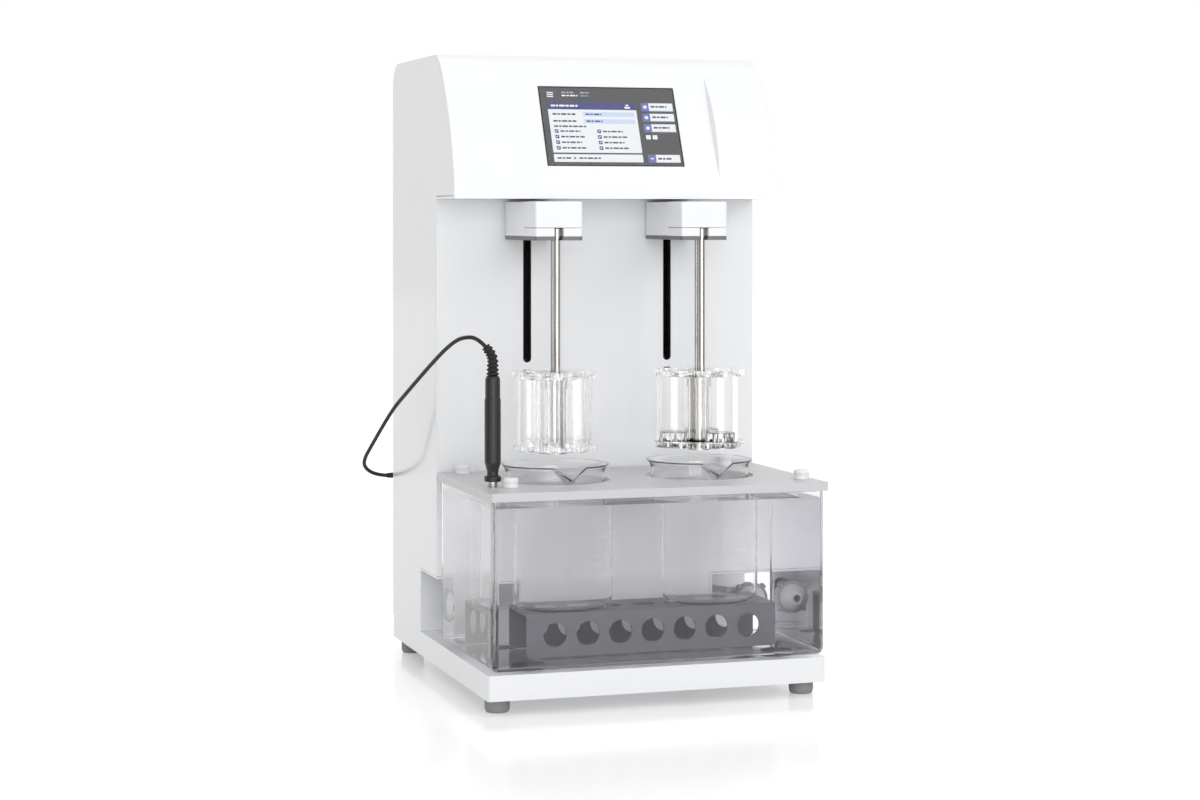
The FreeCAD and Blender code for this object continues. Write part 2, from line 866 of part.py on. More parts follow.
def make_plates(name, x, basket):
    radius = basket["plate_radius"]
    seat = basket["tube_outer_radius"] + tube_play
    bore = basket["tube_inner_radius"]
    upper = post(radius, upper_plate_bottom_z, basket_top_z, x, station_y)
    below = upper_plate_bottom_z - overrun
    above = basket_top_z + overrun
    cuts = tube_posts(x, basket, seat, below, tube_top_z + tube_play)
    cuts += tube_posts(x, basket, bore, tube_top_z, above)
    for y, rod in ((thick_rod_y, thick_rod_radius), (thin_rod_y, thin_rod_radius)):
        cuts.append(post(rod + hanger_play, below, above, x, y))
    write("upper_plate_" + name, upper.cut(cuts))
    lower = post(radius, sieve_top_z, lower_plate_top_z, x, station_y)
    below = sieve_top_z - overrun
    above = lower_plate_top_z + overrun
    cuts = tube_posts(x, basket, seat, below, above)
    cuts.append(post(centre_neck_radius + hanger_play, below, above, x, station_y))
    write("lower_plate_" + name, lower.cut(cuts))


def make_tubes(name, x, basket):
    outer = basket["tube_outer_radius"]
    inner = basket["tube_inner_radius"]
    tubes = []
    for tx, ty in tube_places(x, basket, station_y):
        wall = post(outer, tube_bottom_z, tube_top_z, tx, ty)
        tubes.append(wall.cut(post(inner, tube_bottom_z - overrun, tube_top_z + overrun, tx, ty)))
    write("basket_tubes_" + name, tubes)


def make_sieve(name, x, basket):
    """A steel disc with a square grid of holes under each tube."""
    radius = basket["plate_radius"]
    disc = Part.Face(Part.Wire(Part.makeCircle(radius, V(x, station_y, sieve_top_z))))
    reach = basket["tube_inner_radius"] - sieve_hole * math.sqrt(0.5)
    rows = spread(2 * int(reach / sieve_pitch) + 1, 0, sieve_pitch)
    holes = []
    half = sieve_hole / 2
    for tx, ty in tube_places(x, basket, station_y):
        for dx in rows:
            for dy in rows:
                if math.hypot(dx, dy) < reach:
                    corner = V(tx + dx - half, ty + dy - half, sieve_top_z)
                    holes.append(Part.makePlane(sieve_hole, sieve_hole, corner))
    neck = Part.makeCircle(centre_neck_radius + hanger_play, V(x, station_y, sieve_top_z))
    face = disc.cut(Part.makeCompound(holes + [Part.Face(Part.Wire(neck))]))
    write("sieve_disc_" + name, face.extrude(V(0, 0, -sieve_thickness)).Solids)


def make_disks(name, x, basket):
    disks = []
    bottom = sieve_top_z
    top = bottom + basket["disk_height"]
    flute = basket["flute_radius"]
    ring = ring_places(disk_flutes, basket["disk_radius"], 0)
    for tx, ty in tube_places(x, basket, station_y):
        body = post(basket["disk_radius"], bottom, top, tx, ty)
        flutes = [post(flute, bottom - overrun, top + overrun, tx + dx, ty + dy) for dx, dy in ring]
        disks.append(body.cut(flutes))
    write("fluted_disks_" + name, disks)


# Bath
def bath_blank(inset, bottom, top):
    half = bath_width / 2 - inset
    radius = bath_corner_radius - inset
    blank = box(-half, half, bath_front_y, bath_back_y - inset, bottom, top)
    low = [e for e in blank.Edges if e.CenterOfMass.z < bottom + overrun / 2]
    return blank.makeFillet(radius, upright_edges(blank) + low)


def make_tank():
    outer = bath_blank(0, deck_z + pad_height, bath_top_z)
    room = bath_blank(bath_wall, bath_floor_z, bath_top_z + overrun)
    radius = thread_radius + coupling_play
    inside = bath_back_y - 2 * bath_wall
    holes = [bar_y(radius, inside, bath_back_y + overrun, s * coupling_offset, hose_z) for s in sides]
    joint_y = bath_front_y + bath_wall
    front = bath_front_y - overrun
    pane_zone = box(-half_width, half_width, front, joint_y, deck_z, bath_top_z + overrun)
    glue_zone = box(-half_width, half_width, front, joint_y + bath_glue, deck_z, bath_top_z + overrun)
    write("bath_tank", [outer.common(pane_zone), outer.cut([glue_zone, room] + holes)])


def make_pads():
    pads = []
    for side in sides:
        for y in (bath_front_y + pad_inset_end, bath_back_y - pad_inset_end):
            x = side * (bath_width / 2 - pad_inset_side)
            pads.append(post(pad_radius, deck_z, deck_z + pad_height, x, y))
    write("bath_pads", pads)


def make_cover():
    back = column_y - cover_back_gap
    front = front_y - cover_overhang
    plate = rounded_box(-half_width, half_width, front, back, bath_top_z, cover_top_z, cover_corner_radius)
    below = bath_top_z - overrun
    above = cover_top_z + overrun
    cuts = [post(cover_hole_radius, below, above, x, station_y) for n, x, b in stations]
    cuts.append(post(probe_hole_radius, below, above, probe_x, probe_y))
    write("bath_cover", plate.cut(cuts))


def make_knobs():
    knobs = []
    for place, from_side, from_front in knob_places:
        side = 1 if place.endswith("right") else -1
        x = side * (half_width - from_side)
        y = front_y - cover_overhang + from_front
        knob = post(knob_radius, cover_top_z, cover_top_z + knob_height, x, y)
        rim = [e for e in knob.Edges if e.CenterOfMass.z > cover_top_z + knob_height - knob_edge_radius]
        knobs.append(knob.makeFillet(knob_edge_radius, rim))
    write("cover_knobs", knobs)


# Beakers
def beaker_profile(inset):
    """Half section from the axis out over the foot, up the wall and over the flare."""
    r = beaker_radius - inset
    foot = beaker_foot_radius - inset
    top = beaker_height
    neck = top - beaker_flare_height
    lean = foot * math.sqrt(0.5)
    out_share, up_share = beaker_flare_mid_shares
    flare_mid = V(r + beaker_flare * out_share, 0, neck + beaker_flare_height * up_share)
    return [
        Part.LineSegment(V(0, 0, inset), V(r - foot, 0, inset)),
        Part.Arc(V(r - foot, 0, inset), V(r - foot + lean, 0, inset + foot - lean), V(r, 0, inset + foot)),
        Part.LineSegment(V(r, 0, inset + foot), V(r, 0, neck)),
        Part.Arc(V(r, 0, neck), flare_mid, V(r + beaker_flare, 0, top)),
    ]


def beaker_blank(inset):
    edges = [e.toShape() for e in beaker_profile(inset)]
    top = V(0, 0, beaker_height)
    end = V(beaker_radius - inset + beaker_flare, 0, beaker_height)
    edges.append(Part.LineSegment(end, top).toShape())
    edges.append(Part.LineSegment(top, V(0, 0, inset)).toShape())
    return Part.Face(Part.Wire(edges)).revolve(V(0, 0, 0), Z_AXIS, 360)


def spout_wedge(inset, lift):
    """A three sided trough that narrows from the wall to the tip; lift raises its top, to open it."""
    root_y = -(beaker_radius - 2 * beaker_wall)
    tip_y = -(beaker_radius + spout_reach - inset)
    top = beaker_height
    half = spout_half_width - inset
    root = [V(-half, root_y, top), V(half, root_y, top), V(0, root_y, top - spout_height + inset)]
    tip_z = top - spout_drop
    tip_low = tip_z - 2 * spout_tip + inset / 2
    tip = [V(-spout_tip, tip_y, tip_z), V(spout_tip, tip_y, tip_z), V(0, tip_y, tip_low)]
    if lift:
        root = [root[0], root[0] + V(0, 0, lift), root[1] + V(0, 0, lift), root[1], root[2]]
        tip = [tip[0], tip[0] + V(0, 0, 2 * lift), tip[1] + V(0, 0, 2 * lift), tip[1], tip[2]]
    wires = [Part.makePolygon(points + points[:1]) for points in (root, tip)]
    return Part.makeLoft(wires, True, True)


def make_beaker(name, x):
    body = beaker_blank(0).fuse(spout_wedge(0, 0))
    body = body.cut([beaker_blank(beaker_wall), spout_wedge(beaker_wall, spout_drop)])
    body = max(body.Solids, key=lambda solid: solid.Volume)
    body.translate(V(x, station_y, rack_top_z))
    write("beaker_" + name, body)


def make_rack():
    half = rack_length / 2
    y0 = station_y - rack_depth / 2
    y1 = station_y + rack_depth / 2
    x0 = rack_shift - half
    x1 = rack_shift + half
    outer = box(x0, x1, y0, y1, bath_floor_z, rack_top_z)
    low = [e for e in outer.Edges if e.CenterOfMass.z < bath_floor_z + side_gap]
    ends = [e for e in low if abs(e.CenterOfMass.x - rack_shift) > half - side_gap]
    outer = outer.makeFillet(rack_corner_radius, ends)
    room = box(x0 - overrun, x1 + overrun, y0 + rack_wall, y1 - rack_wall, 0, rack_top_z - rack_wall)
    holes = []
    for x in spread(rack_hole_count, rack_shift, rack_hole_pitch):
        hole_z = bath_floor_z + rack_height * rack_hole_share
        holes.append(bar_y(rack_hole_radius, y0 - overrun, y1 + overrun, x, hole_z))
        holes.append(post(rack_hole_radius, rack_top_z - 2 * rack_wall, rack_top_z + overrun, x, station_y))
    write("beaker_rack", outer.cut([room] + holes))


# Couplings, hoses and pump
def make_couplings():
    bodies = []
    nuts = []
    inside = bath_back_y - bath_wall
    for side in sides:
        x = side * coupling_offset
        nut_front = inside - nut_thickness
        cone_base = V(x, nut_front - side_gap, hose_z)
        cone = Part.makeCone(nozzle_base_radius, nozzle_tip_radius, nozzle_length, cone_base, -Y_AXIS)
        thread = bar_y(thread_radius, nut_front - side_gap, bath_back_y + side_gap, x, hose_z)
        flange_y = bath_back_y + side_gap
        flange = bar_y(outer_flange_radius, flange_y, flange_y + outer_flange_thickness, x, hose_z)
        barb_y = flange_y + outer_flange_thickness
        barb = bar_y(barb_radius, barb_y, barb_y + barb_length, x, hose_z)
        hole = bar_y(nozzle_hole_radius, nut_front - 2 * nozzle_length, barb_y + 2 * barb_length, x, hose_z)
        bodies.append(fuse([cone, thread, flange, barb]).cut(hole))
        ring = bar_y(nut_radius, nut_front, inside, x, hose_z)
        ears = []
        for i in range(nut_ear_count):
            reach = nut_radius + nut_ear_reach
            half = nut_ear_width / 2
            ear = box(x - half, x + half, nut_front, inside, hose_z, hose_z + reach)
            ear.rotate(V(x, inside, hose_z), Y_AXIS, 360 / nut_ear_count * (i + nut_ear_turn_share))
            ears.append(ear)
        bore = bar_y(thread_radius + coupling_play, nut_front - overrun, inside + overrun, x, hose_z)
        nuts.append(fuse([ring] + ears).cut(bore))
    write("bath_couplings", bodies)
    write("coupling_nuts", nuts)


def coupling_shoulder_y():
    return bath_back_y + side_gap + outer_flange_thickness + hose_end_play


def port_shoulder_y():
    return recess_back_y - side_gap - recess_wall - port_reach - hose_end_play


def hose_path(side):
    """Straight for a hose diameter at both ends, with two equal arcs between them."""
    straight = 2 * hose_crest_radius
    start = V(side * coupling_offset, coupling_shoulder_y(), hose_z)
    end = V(side * port_offset, port_shoulder_y(), hose_z)
    a = start + Y_AXIS * straight
    b = end - Y_AXIS * straight
    run = b.y - a.y
    shift = a.x - b.x
    turn = 2 * math.atan2(abs(shift), run)
    radius = run / 2 / math.sin(turn)
    middle = (a + b) * 0.5
    sign = -1 if shift > 0 else 1
    half_turn = turn / 2
    out = V(sign * radius * (1 - math.cos(half_turn)), radius * math.sin(half_turn), 0)
    back = V(out.x, out.y, 0)
    edges = [
        Part.LineSegment(start, a),
        Part.Arc(a, a + out, middle),
        Part.Arc(middle, b - back, b),
        Part.LineSegment(b, end),
    ]
    return Part.Wire([e.toShape() for e in edges]), radius


def hose_places(wire, count):
    """Evenly spaced points on the path, each with its direction."""
    edges = wire.OrderedEdges
    places = []
    for i in range(count + 1):
        left = wire.Length * i / count
        step = 0
        while step < len(edges) - 1 and left > edges[step].Length:
            left -= edges[step].Length
            step += 1
        edge = edges[step]
        at = edge.getParameterByLength(min(left, edge.Length))
        places.append((edge.valueAt(at), edge.tangentAt(at)))
    return places


def make_hoses():
    hoses = []
    for side in sides:
        wire, radius = hose_path(side)
        ribs = int(wire.Length / hose_rib_pitch)
        places = hose_places(wire, 4 * ribs)
        circles = []
        for i, (place, along) in enumerate(places):
            size = hose_crest_radius if i % 4 in (1, 2) else hose_root_radius
            circles.append(ring_wire(place, along, size))
        body = Part.makeLoft(circles, True, True)
        bore = wire.makePipeShell([ring_wire(*places[0], hose_bore_radius)], True, False)
        hoses.append(body.cut(bore).Solids[0])
        print("hose", side, "length", round(wire.Length, 1), "radius", round(radius, 1), "ribs", ribs)
    write("bath_hoses", hoses)


def ring_wire(place, along, radius, steady=Z_AXIS):
    """A circle square to the path whose seam always faces one way."""
    circle = Part.Circle()
    circle.Center = place
    circle.Axis = along
    circle.XAxis = steady
    circle.Radius = radius
    return Part.Wire(circle.toShape())


def make_pump():
    half = pump_width / 2
    y0 = recess_back_y + pump_front_gap
    y1 = supply_front_y - pump_back_gap
    body = rounded_box(-half, half, y0, y1, deck_z, deck_z + pump_height, block_corner_radius)
    pipe_y = recess_back_y + pipe_setback
    reach = port_offset
    pipe = bar_x(port_radius, -reach, reach, pipe_y, hose_z)
    ports = []
    shoulder = port_shoulder_y() + hose_end_play
    for side in sides:
        x = side * port_offset
        ports.append(Part.makeSphere(port_radius, V(x, pipe_y, hose_z)))
        ports.append(bar_y(port_radius, shoulder, pipe_y, x, hose_z))
        ports.append(bar_y(barb_radius, shoulder - barb_length, shoulder, x, hose_z))
    write("circulation_pump", fuse([body, pipe] + ports))


# Probe
def make_probe():
    low = cover_top_z + hose_end_play
    collar = post(needle_collar_radius, low, handle_z - hose_end_play, probe_x, probe_y)
    needle_top = cover_top_z + needle_collar_height / 2
    needle = post(needle_radius, cover_top_z - needle_length, needle_top, probe_x, probe_y)
    write("probe_needle", fuse([collar, needle]))
    write("probe_handle", turned(handle_rings, probe_x, probe_y, handle_z))


def boot_place(distance):
    """A point on the boot's axis, which rises and then bends over, and the direction there."""
    heading = math.radians(boot_heading_deg)
    across = V(math.cos(heading), math.sin(heading), 0)
    bottom = V(probe_x, probe_y, handle_z + handle_rings[-1][1])
    if distance <= boot_rise:
        return bottom + Z_AXIS * distance, Z_AXIS
    turn = (distance - boot_rise) / boot_bend_radius
    out = across * (boot_bend_radius * (1 - math.cos(turn)))
    up = Z_AXIS * (boot_rise + boot_bend_radius * math.sin(turn))
    return bottom + out + up, across * math.sin(turn) + Z_AXIS * math.cos(turn)


def boot_length():
    return boot_rise + boot_bend_radius * math.radians(boot_bend_deg)


def make_boot():
    length = boot_length()
    heading = math.radians(boot_heading_deg)
    steady = V(-math.sin(heading), math.cos(heading), 0)
    slices = []
    for i in range(boot_slices + 1):
        share = i / boot_slices
        place, along = boot_place(hose_end_play + (length - hose_end_play) * share)
        radius = boot_bottom_radius + (boot_top_radius - boot_bottom_radius) * share
        slices.append(ring_wire(place, along, radius, steady))
    pieces = [Part.makeLoft(slices, True, True)]
    for i in range(boot_rib_count):
        place, along = boot_place(boot_rib_start + boot_rib_pitch * i)
        wide = boot_rib_radius - boot_rib_taper * i / boot_rib_count
        pieces.append(rib_disc(place, along, wide, boot_rib_thickness))
    place, along = boot_place(length - boot_cap_length)
    cap_radius = boot_rib_radius - boot_rib_taper
    pieces.append(rib_disc(place, along, cap_radius, boot_cap_length - boot_rib_bevel))
    write("probe_boot", fuse(pieces))


def rib_disc(place, along, radius, thickness):
    disc = Part.makeCylinder(radius, thickness, place, along)
    return disc.makeChamfer(boot_rib_bevel, [e for e in disc.Edges if e.Closed])


def plug_places():
    y = rear_face_y + socket_flange_thickness + hose_end_play
    z = deck_z + socket_rise
    elbow = V(-socket_side, y + plug_length, z)
    exit_x = elbow.x - plug_arm_length - plug_relief_length
    return y, elbow, V(exit_x, elbow.y, elbow.z)


def make_plug():
    y, elbow, exit_point = plug_places()
    pin = bar_y(plug_pin_radius, y - plug_pin_length, y, elbow.x, elbow.z)
    stem = bar_y(plug_radius, y, elbow.y, elbow.x, elbow.z)
    ball = Part.makeSphere(plug_radius, elbow)
    arm = bar_x(plug_radius, elbow.x - plug_arm_length, elbow.x, elbow.y, elbow.z)
    start = V(elbow.x - plug_arm_length, elbow.y, elbow.z)
    thick = plug_radius * plug_relief_share
    thin = cord_radius * cord_grip_share
    relief = Part.makeCone(thick, thin, plug_relief_length, start, -X_AXIS)
    write("probe_plug", fuse([pin, stem, ball, arm, relief]))


def cord_route():
    y, elbow, exit_point = plug_places()
    place, along = boot_place(boot_length())
    start = place + along * hose_end_play
    return [start] + [V(*p) for p in cord_points] + [exit_point - X_AXIS * hose_end_play]


def tube_path(points):
    """Straight runs joined by arcs that touch both runs."""
    edges = []
    radii = []
    here = points[0]
    for before, corner, after in zip(points, points[1:], points[2:]):
        arrive = corner - before
        leave = after - corner
        shorter = min(arrive.Length, leave.Length)
        turn = arrive.getAngle(leave)
        arrive.normalize()
        leave.normalize()
        reach = turn_share * shorter
        radius = reach / math.tan(turn / 2)
        radii.append(radius)
        start = corner - arrive * reach
        end = corner + leave * reach
        bisect = leave - arrive
        bisect.normalize()
        centre = corner + bisect * (radius / math.cos(turn / 2))
        middle = centre - bisect * radius
        edges.append(Part.LineSegment(here, start).toShape())
        edges.append(Part.Arc(start, middle, end).toShape())
        here = end
    edges.append(Part.LineSegment(here, points[-1]).toShape())
    return Part.Wire(edges), radii


def make_cord():
    points = cord_route()
    runs = [(b - a).Length for a, b in zip(points, points[1:])]
    path, radii = tube_path(points)
    start = points[1] - points[0]
    ring = Part.Wire(Part.makeCircle(cord_radius, points[0], start))
    tube = path.makePipeShell([ring], True, False)
    area = math.pi * cord_radius**2
    print("cord start", [round(c, 1) for c in points[0]], "end", [round(c, 1) for c in points[-1]])
    print("cord length", round(path.Length, 1), "volume share", round(tube.Volume / area / path.Length, 4))
    print("cord runs", [round(r, 1) for r in runs])
    print("cord radii", [round(r, 1) for r in radii])
    write("probe_cord", tube)


# Electrics
def make_socket():
    z = deck_z + socket_rise
    x = -socket_side
    body = bar_y(socket_radius, rear_face_y - socket_depth, rear_face_y, x, z)
    flange = bar_y(socket_flange_radius, rear_face_y, rear_face_y + socket_flange_thickness, x, z)
    bore = bar_y(socket_bore_radius, rear_face_y - socket_depth + base_plate_thickness, back_y, x, z)
    write("probe_socket", fuse([body, flange]).cut(bore))


def make_inlet():
    z = deck_z + electrics_height
    half_w = inlet_width / 2
    half_h = inlet_height / 2
    rim_y = rear_face_y + inlet_flange_thickness
    back = rim_y - inlet_depth
    body = box(inlet_side - half_w, inlet_side + half_w, back, rim_y, z - half_h, z + half_h)
    rim_w = half_w + inlet_flange
    rim_h = half_h + inlet_flange
    rim = box(inlet_side - rim_w, inlet_side + rim_w, rear_face_y, rim_y, z - rim_h, z + rim_h)
    room_w = half_w - inlet_wall
    room_h = half_h - inlet_wall
    room = box(
        inlet_side - room_w, inlet_side + room_w, back + inlet_wall, rim_y + overrun, z - room_h, z + room_h
    )
    pins = []
    half = inlet_pin_width / 2
    tall = inlet_pin_height / 2
    for i, x in enumerate(spread(3, inlet_side, inlet_pin_spacing)):
        pin_z = z + (inlet_pin_rise / 2 if i == 1 else -inlet_pin_rise / 2)
        pins.append(box(x - half, x + half, back, back + inlet_pin_length, pin_z - tall, pin_z + tall))
    write("power_inlet", fuse([fuse([body, rim]).cut(room)] + pins))


def rocker_pivot():
    return V(switch_side, rear_face_y - rocker_pivot_setback, deck_z + electrics_height)


def make_switch():
    pivot = rocker_pivot()
    half_w = switch_width / 2
    half_h = switch_height / 2
    rim_y = rear_face_y + inlet_flange_thickness
    back = rim_y - switch_depth - rocker_radius / 2
    body = box(pivot.x - half_w, pivot.x + half_w, back, rim_y, pivot.z - half_h, pivot.z + half_h)
    rim_w = half_w + switch_flange
    rim_h = half_h + switch_flange
    rim = box(pivot.x - rim_w, pivot.x + rim_w, rear_face_y, rim_y, pivot.z - rim_h, pivot.z + rim_h)
    room_w = half_w - switch_wall
    room_h = rocker_radius + rocker_play
    z0 = pivot.z - room_h
    z1 = pivot.z + room_h
    room = box(pivot.x - room_w, pivot.x + room_w, back + switch_wall, rim_y + overrun, z0, z1)
    reach = room_w + rocker_pivot_length
    bearing = rocker_pivot_radius + running_clearance
    holes = bar_x(bearing, pivot.x - reach, pivot.x + reach, pivot.y, pivot.z)
    write("switch_frame", fuse([body, rim]).cut([room, holes]))
    key_w = room_w - rocker_play
    key = bar_x(rocker_radius, pivot.x - key_w, pivot.x + key_w, pivot.y, pivot.z)
    face_y = pivot.y + rocker_face
    cuts = [box(-body_width, body_width, -body_depth, pivot.y - rocker_radius / 2, 0, body_height)]
    for side in sides:
        z0, z1 = sorted((pivot.z, pivot.z + side * body_depth))
        cut = box(-body_width, body_width, face_y, face_y + body_depth, z0, z1)
        cut.rotate(V(0, face_y, pivot.z), X_AXIS, -side * rocker_tilt_deg)
        cuts.append(cut)
    key = key.cut(cuts)
    reach -= rocker_play
    pins = bar_x(rocker_pivot_radius, pivot.x - reach, pivot.x + reach, pivot.y, pivot.z)
    rocker = fuse([key, pins])
    rocker.rotate(pivot, X_AXIS, -rocker_tilt_deg)
    write("power_switch", rocker)


def make_supply():
    half = supply_width / 2
    x = -supply_side
    top = deck_z + supply_height
    write("power_supply", box(x - half, x + half, supply_front_y, supply_back_y, deck_z, top))


def main():
    os.makedirs("parts", exist_ok=True)
    make_base()
    make_feet()
    make_casing()
    make_head_cover()
    make_front_panel()
    make_slot_liners()
    make_recesses()
    make_rear_panel()
    make_casing_screws()
    make_screen()
    make_display()
    make_drive_frame()
    make_motors()
    for name, x, basket in stations:
        make_block(name, x)
        make_block_plate(name, x)
        make_clamp(name, x)
        make_carriage(name, x)
        make_screw(name, x)
        make_hanger(name, x, basket)
        make_plates(name, x, basket)
        make_tubes(name, x, basket)
        make_sieve(name, x, basket)
        make_disks(name, x, basket)
        make_beaker(name, x)
    make_tank()
    make_pads()
    make_cover()
    make_knobs()
    make_rack()
    make_couplings()
    make_hoses()
    make_pump()
    make_probe()
    make_boot()
    make_plug()
    make_cord()
    make_socket()
    make_inlet()
    make_switch()
    make_supply()


main()
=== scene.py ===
"""Finishes and fine pieces of a tablet disintegration tester, laid out as an add-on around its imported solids."""

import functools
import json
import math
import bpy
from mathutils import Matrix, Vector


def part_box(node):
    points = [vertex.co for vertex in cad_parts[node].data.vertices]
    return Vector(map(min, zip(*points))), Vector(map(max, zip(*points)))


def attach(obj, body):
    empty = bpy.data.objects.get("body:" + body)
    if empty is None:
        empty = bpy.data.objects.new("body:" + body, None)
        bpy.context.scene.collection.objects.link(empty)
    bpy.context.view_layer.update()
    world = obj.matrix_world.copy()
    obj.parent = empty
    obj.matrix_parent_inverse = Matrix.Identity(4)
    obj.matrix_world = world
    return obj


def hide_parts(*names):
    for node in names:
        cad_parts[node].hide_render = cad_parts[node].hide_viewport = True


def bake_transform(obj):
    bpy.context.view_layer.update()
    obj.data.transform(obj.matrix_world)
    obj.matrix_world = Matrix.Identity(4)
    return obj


bl_info = {
    "name": "Disintegration Tester Finishes",
    "version": (1, 0, 0),
    "blender": (4, 5, 0),
    "location": "3D View > Sidebar > Tester",
    "description": "Builds the finishes and the fine pieces of a bench tester with a water bath",
    "category": "Object",
}

import bmesh
import bpy
from mathutils import Matrix, Vector

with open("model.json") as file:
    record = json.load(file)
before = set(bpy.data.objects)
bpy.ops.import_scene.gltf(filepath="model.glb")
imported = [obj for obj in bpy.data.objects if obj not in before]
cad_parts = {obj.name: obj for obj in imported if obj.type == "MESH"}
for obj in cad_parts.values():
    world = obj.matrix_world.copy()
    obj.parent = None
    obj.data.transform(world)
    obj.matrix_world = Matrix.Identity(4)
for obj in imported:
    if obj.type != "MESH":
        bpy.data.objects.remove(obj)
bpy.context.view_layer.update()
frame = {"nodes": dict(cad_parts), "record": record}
NODES = frame["nodes"]
BODY = {node: body for body, nodes in frame["record"]["behaviour"]["bodies"].items() for node in nodes}
SIDES = {"left": -1, "right": 1}
VIEW_HEADING = -107.8  # where the camera stands, in degrees about the tester


# ---------------------------------------------------------------- sizes and colours
def length(name, value, description):
    return bpy.props.FloatProperty(
        name=name, description=description, default=value, min=0.0, subtype="DISTANCE", unit="LENGTH", precision=4
    )


def place(name, value, description):
    return bpy.props.FloatVectorProperty(
        name=name, description=description, default=value, subtype="TRANSLATION", unit="LENGTH", precision=4
    )


def colour(name, value, description):
    return bpy.props.FloatVectorProperty(
        name=name, description=description, default=value, min=0.0, max=1.0, subtype="COLOR"
    )


def plain(name, value, description, low=0.0, high=1000.0):
    return bpy.props.FloatProperty(name=name, description=description, default=value, min=low, max=high)


class TesterHousing(bpy.types.PropertyGroup):
    paint: colour("Paint", (0.80, 0.81, 0.825), "White paint of the column and base")
    moulding: colour("Moulding", (0.83, 0.84, 0.86), "White plastic of the head and blocks")
    edge: length("Edge radius", 0.0012, "Rounding of the housing's edges")
    head_edge: length("Head edge radius", 0.0011, "Rounding of the head's outer edges")
    foot_rubber: colour("Foot rubber", (0.28, 0.28, 0.285), "Grey rubber of the feet")
    plate: colour("Block plate", (0.16, 0.16, 0.165), "Grey plate under each lift block")
    inside_metal: colour("Inside metal", (0.42, 0.43, 0.45), "Frames and modules behind the covers")


class TesterScreen(bpy.types.PropertyGroup):
    low: place("Facet foot", (0.0, -0.067266, 0.5422535), "Lower end of the head's flat facet")
    high: place("Facet top", (0.0, -0.016215, 0.6564985), "Upper end of the head's flat facet")
    width: length("Screen width", 0.1526, "Visible width of the screen")
    height: length("Screen height", 0.0926, "Visible height of the screen")
    back: colour("Menu back", (0.042, 0.042, 0.045), "Dark ground of the menu")
    title: colour("Title bar", (0.016, 0.028, 0.20), "Navy bar over the white panel")
    sheet: colour("Panel", (0.88, 0.90, 0.94), "White panel of the menu")
    field: colour("Field", (0.60, 0.74, 0.93), "Light blue entry fields")
    tile: colour("Tile", (0.115, 0.14, 0.46), "Violet blue tiles of the buttons")
    dark_ink: colour("Dark ink", (0.025, 0.03, 0.05), "Dark lines that stand for lettering")
    glow: plain("Glow", 0.92, "Strength of the lit menu", 0.0, 5.0)


class TesterBaskets(bpy.types.PropertyGroup):
    steel: colour("Steel", (0.47, 0.46, 0.44), "Polished steel of rods and hubs")
    wire_pitch: length("Wire pitch", 0.0024, "Distance between the wires of the mesh")
    wire_radius: length("Wire radius", 0.00033, "Half the thickness of a wire")
    tube_bottom: length("Tube bottom", 0.2565, "Height of the tubes' lower ends")
    tube_length: length("Tube length", 0.0775, "Length of the tubes")
    setback: plain("Station place", -0.0985, "Where the stations stand along the depth", -1.0, 1.0)
    offset: length("Station offset", 0.081, "Distance of each station from the middle")


class TesterBath(bpy.types.PropertyGroup):
    acrylic: colour("Acrylic", (0.985, 0.985, 0.99), "Clear acrylic of the bath and plates")
    wall: length("Bath wall", 0.005, "Thickness of the bath's walls and floor")
    outer_radius: length("Bath corner", 0.008, "Rounding of the bath's outer corners")
    inner_radius: length("Bath inner corner", 0.003, "Rounding of the bath's inner corners, but for the glued front")
    thread_hole: length("Thread hole", 0.0101, "Radius of the holes for the hose couplings")
    # Water tint: partly the water's own faint colour and partly painted shade. It is darker than clear water, so the
    # bath reads as shaded when seen through the tank.
    water: colour("Water", (0.935, 0.93, 0.95), "Water in the bath")
    level: length("Water level", 0.2085, "Height of the water's surface")
    cover: colour("Cover", (0.57, 0.57, 0.585), "Grey cover plate")
    rack: colour("Rack", (0.115, 0.117, 0.135), "Dark grey rack under the beakers")
    coupling: colour("Coupling", (0.23, 0.235, 0.255), "Grey ring nuts of the hose couplings")
    nozzle: colour("Nozzle", (0.46, 0.465, 0.485), "Paler grey nozzles of the hose couplings")
    knob: colour("Knob", (0.78, 0.79, 0.80), "Milky knobs on the cover")
    glass: colour("Glass", (0.99, 0.99, 0.99), "Glass of the beakers and tubes")
    beaker_radius: length("Beaker radius", 0.0525, "Outer radius of a beaker's wall")
    beaker_wall: length("Beaker wall", 0.0019, "Thickness of a beaker's wall")
    beaker_height: length("Beaker height", 0.147, "Height of a beaker")
    beaker_foot: length("Beaker foot height", 0.094, "Height at which the beakers stand")
    spout_height: length("Spout height", 0.019, "Height of the spout's trough under the rim")
    spout_width: length("Spout width", 0.034, "Width of the spout at the rim")
    spout_reach: length("Spout reach", 0.0125, "How far the spout's tip stands out from the wall")
    spout_drop: length("Spout drop", 0.0112, "How far the spout's tip lies under the rim")


class TesterProbe(bpy.types.PropertyGroup):
    shell: colour("Shell", (0.012, 0.012, 0.013), "Black plastic of the handle")
    rubber: colour("Rubber", (0.010, 0.010, 0.011), "Black rubber of the boot and cord")
    cord_diameter: length("Cord diameter", 0.0042, "Thickness of the probe's cord")
    axis: place("Probe axis", (-0.163, -0.1495, 0.2302), "Lower end of the handle")


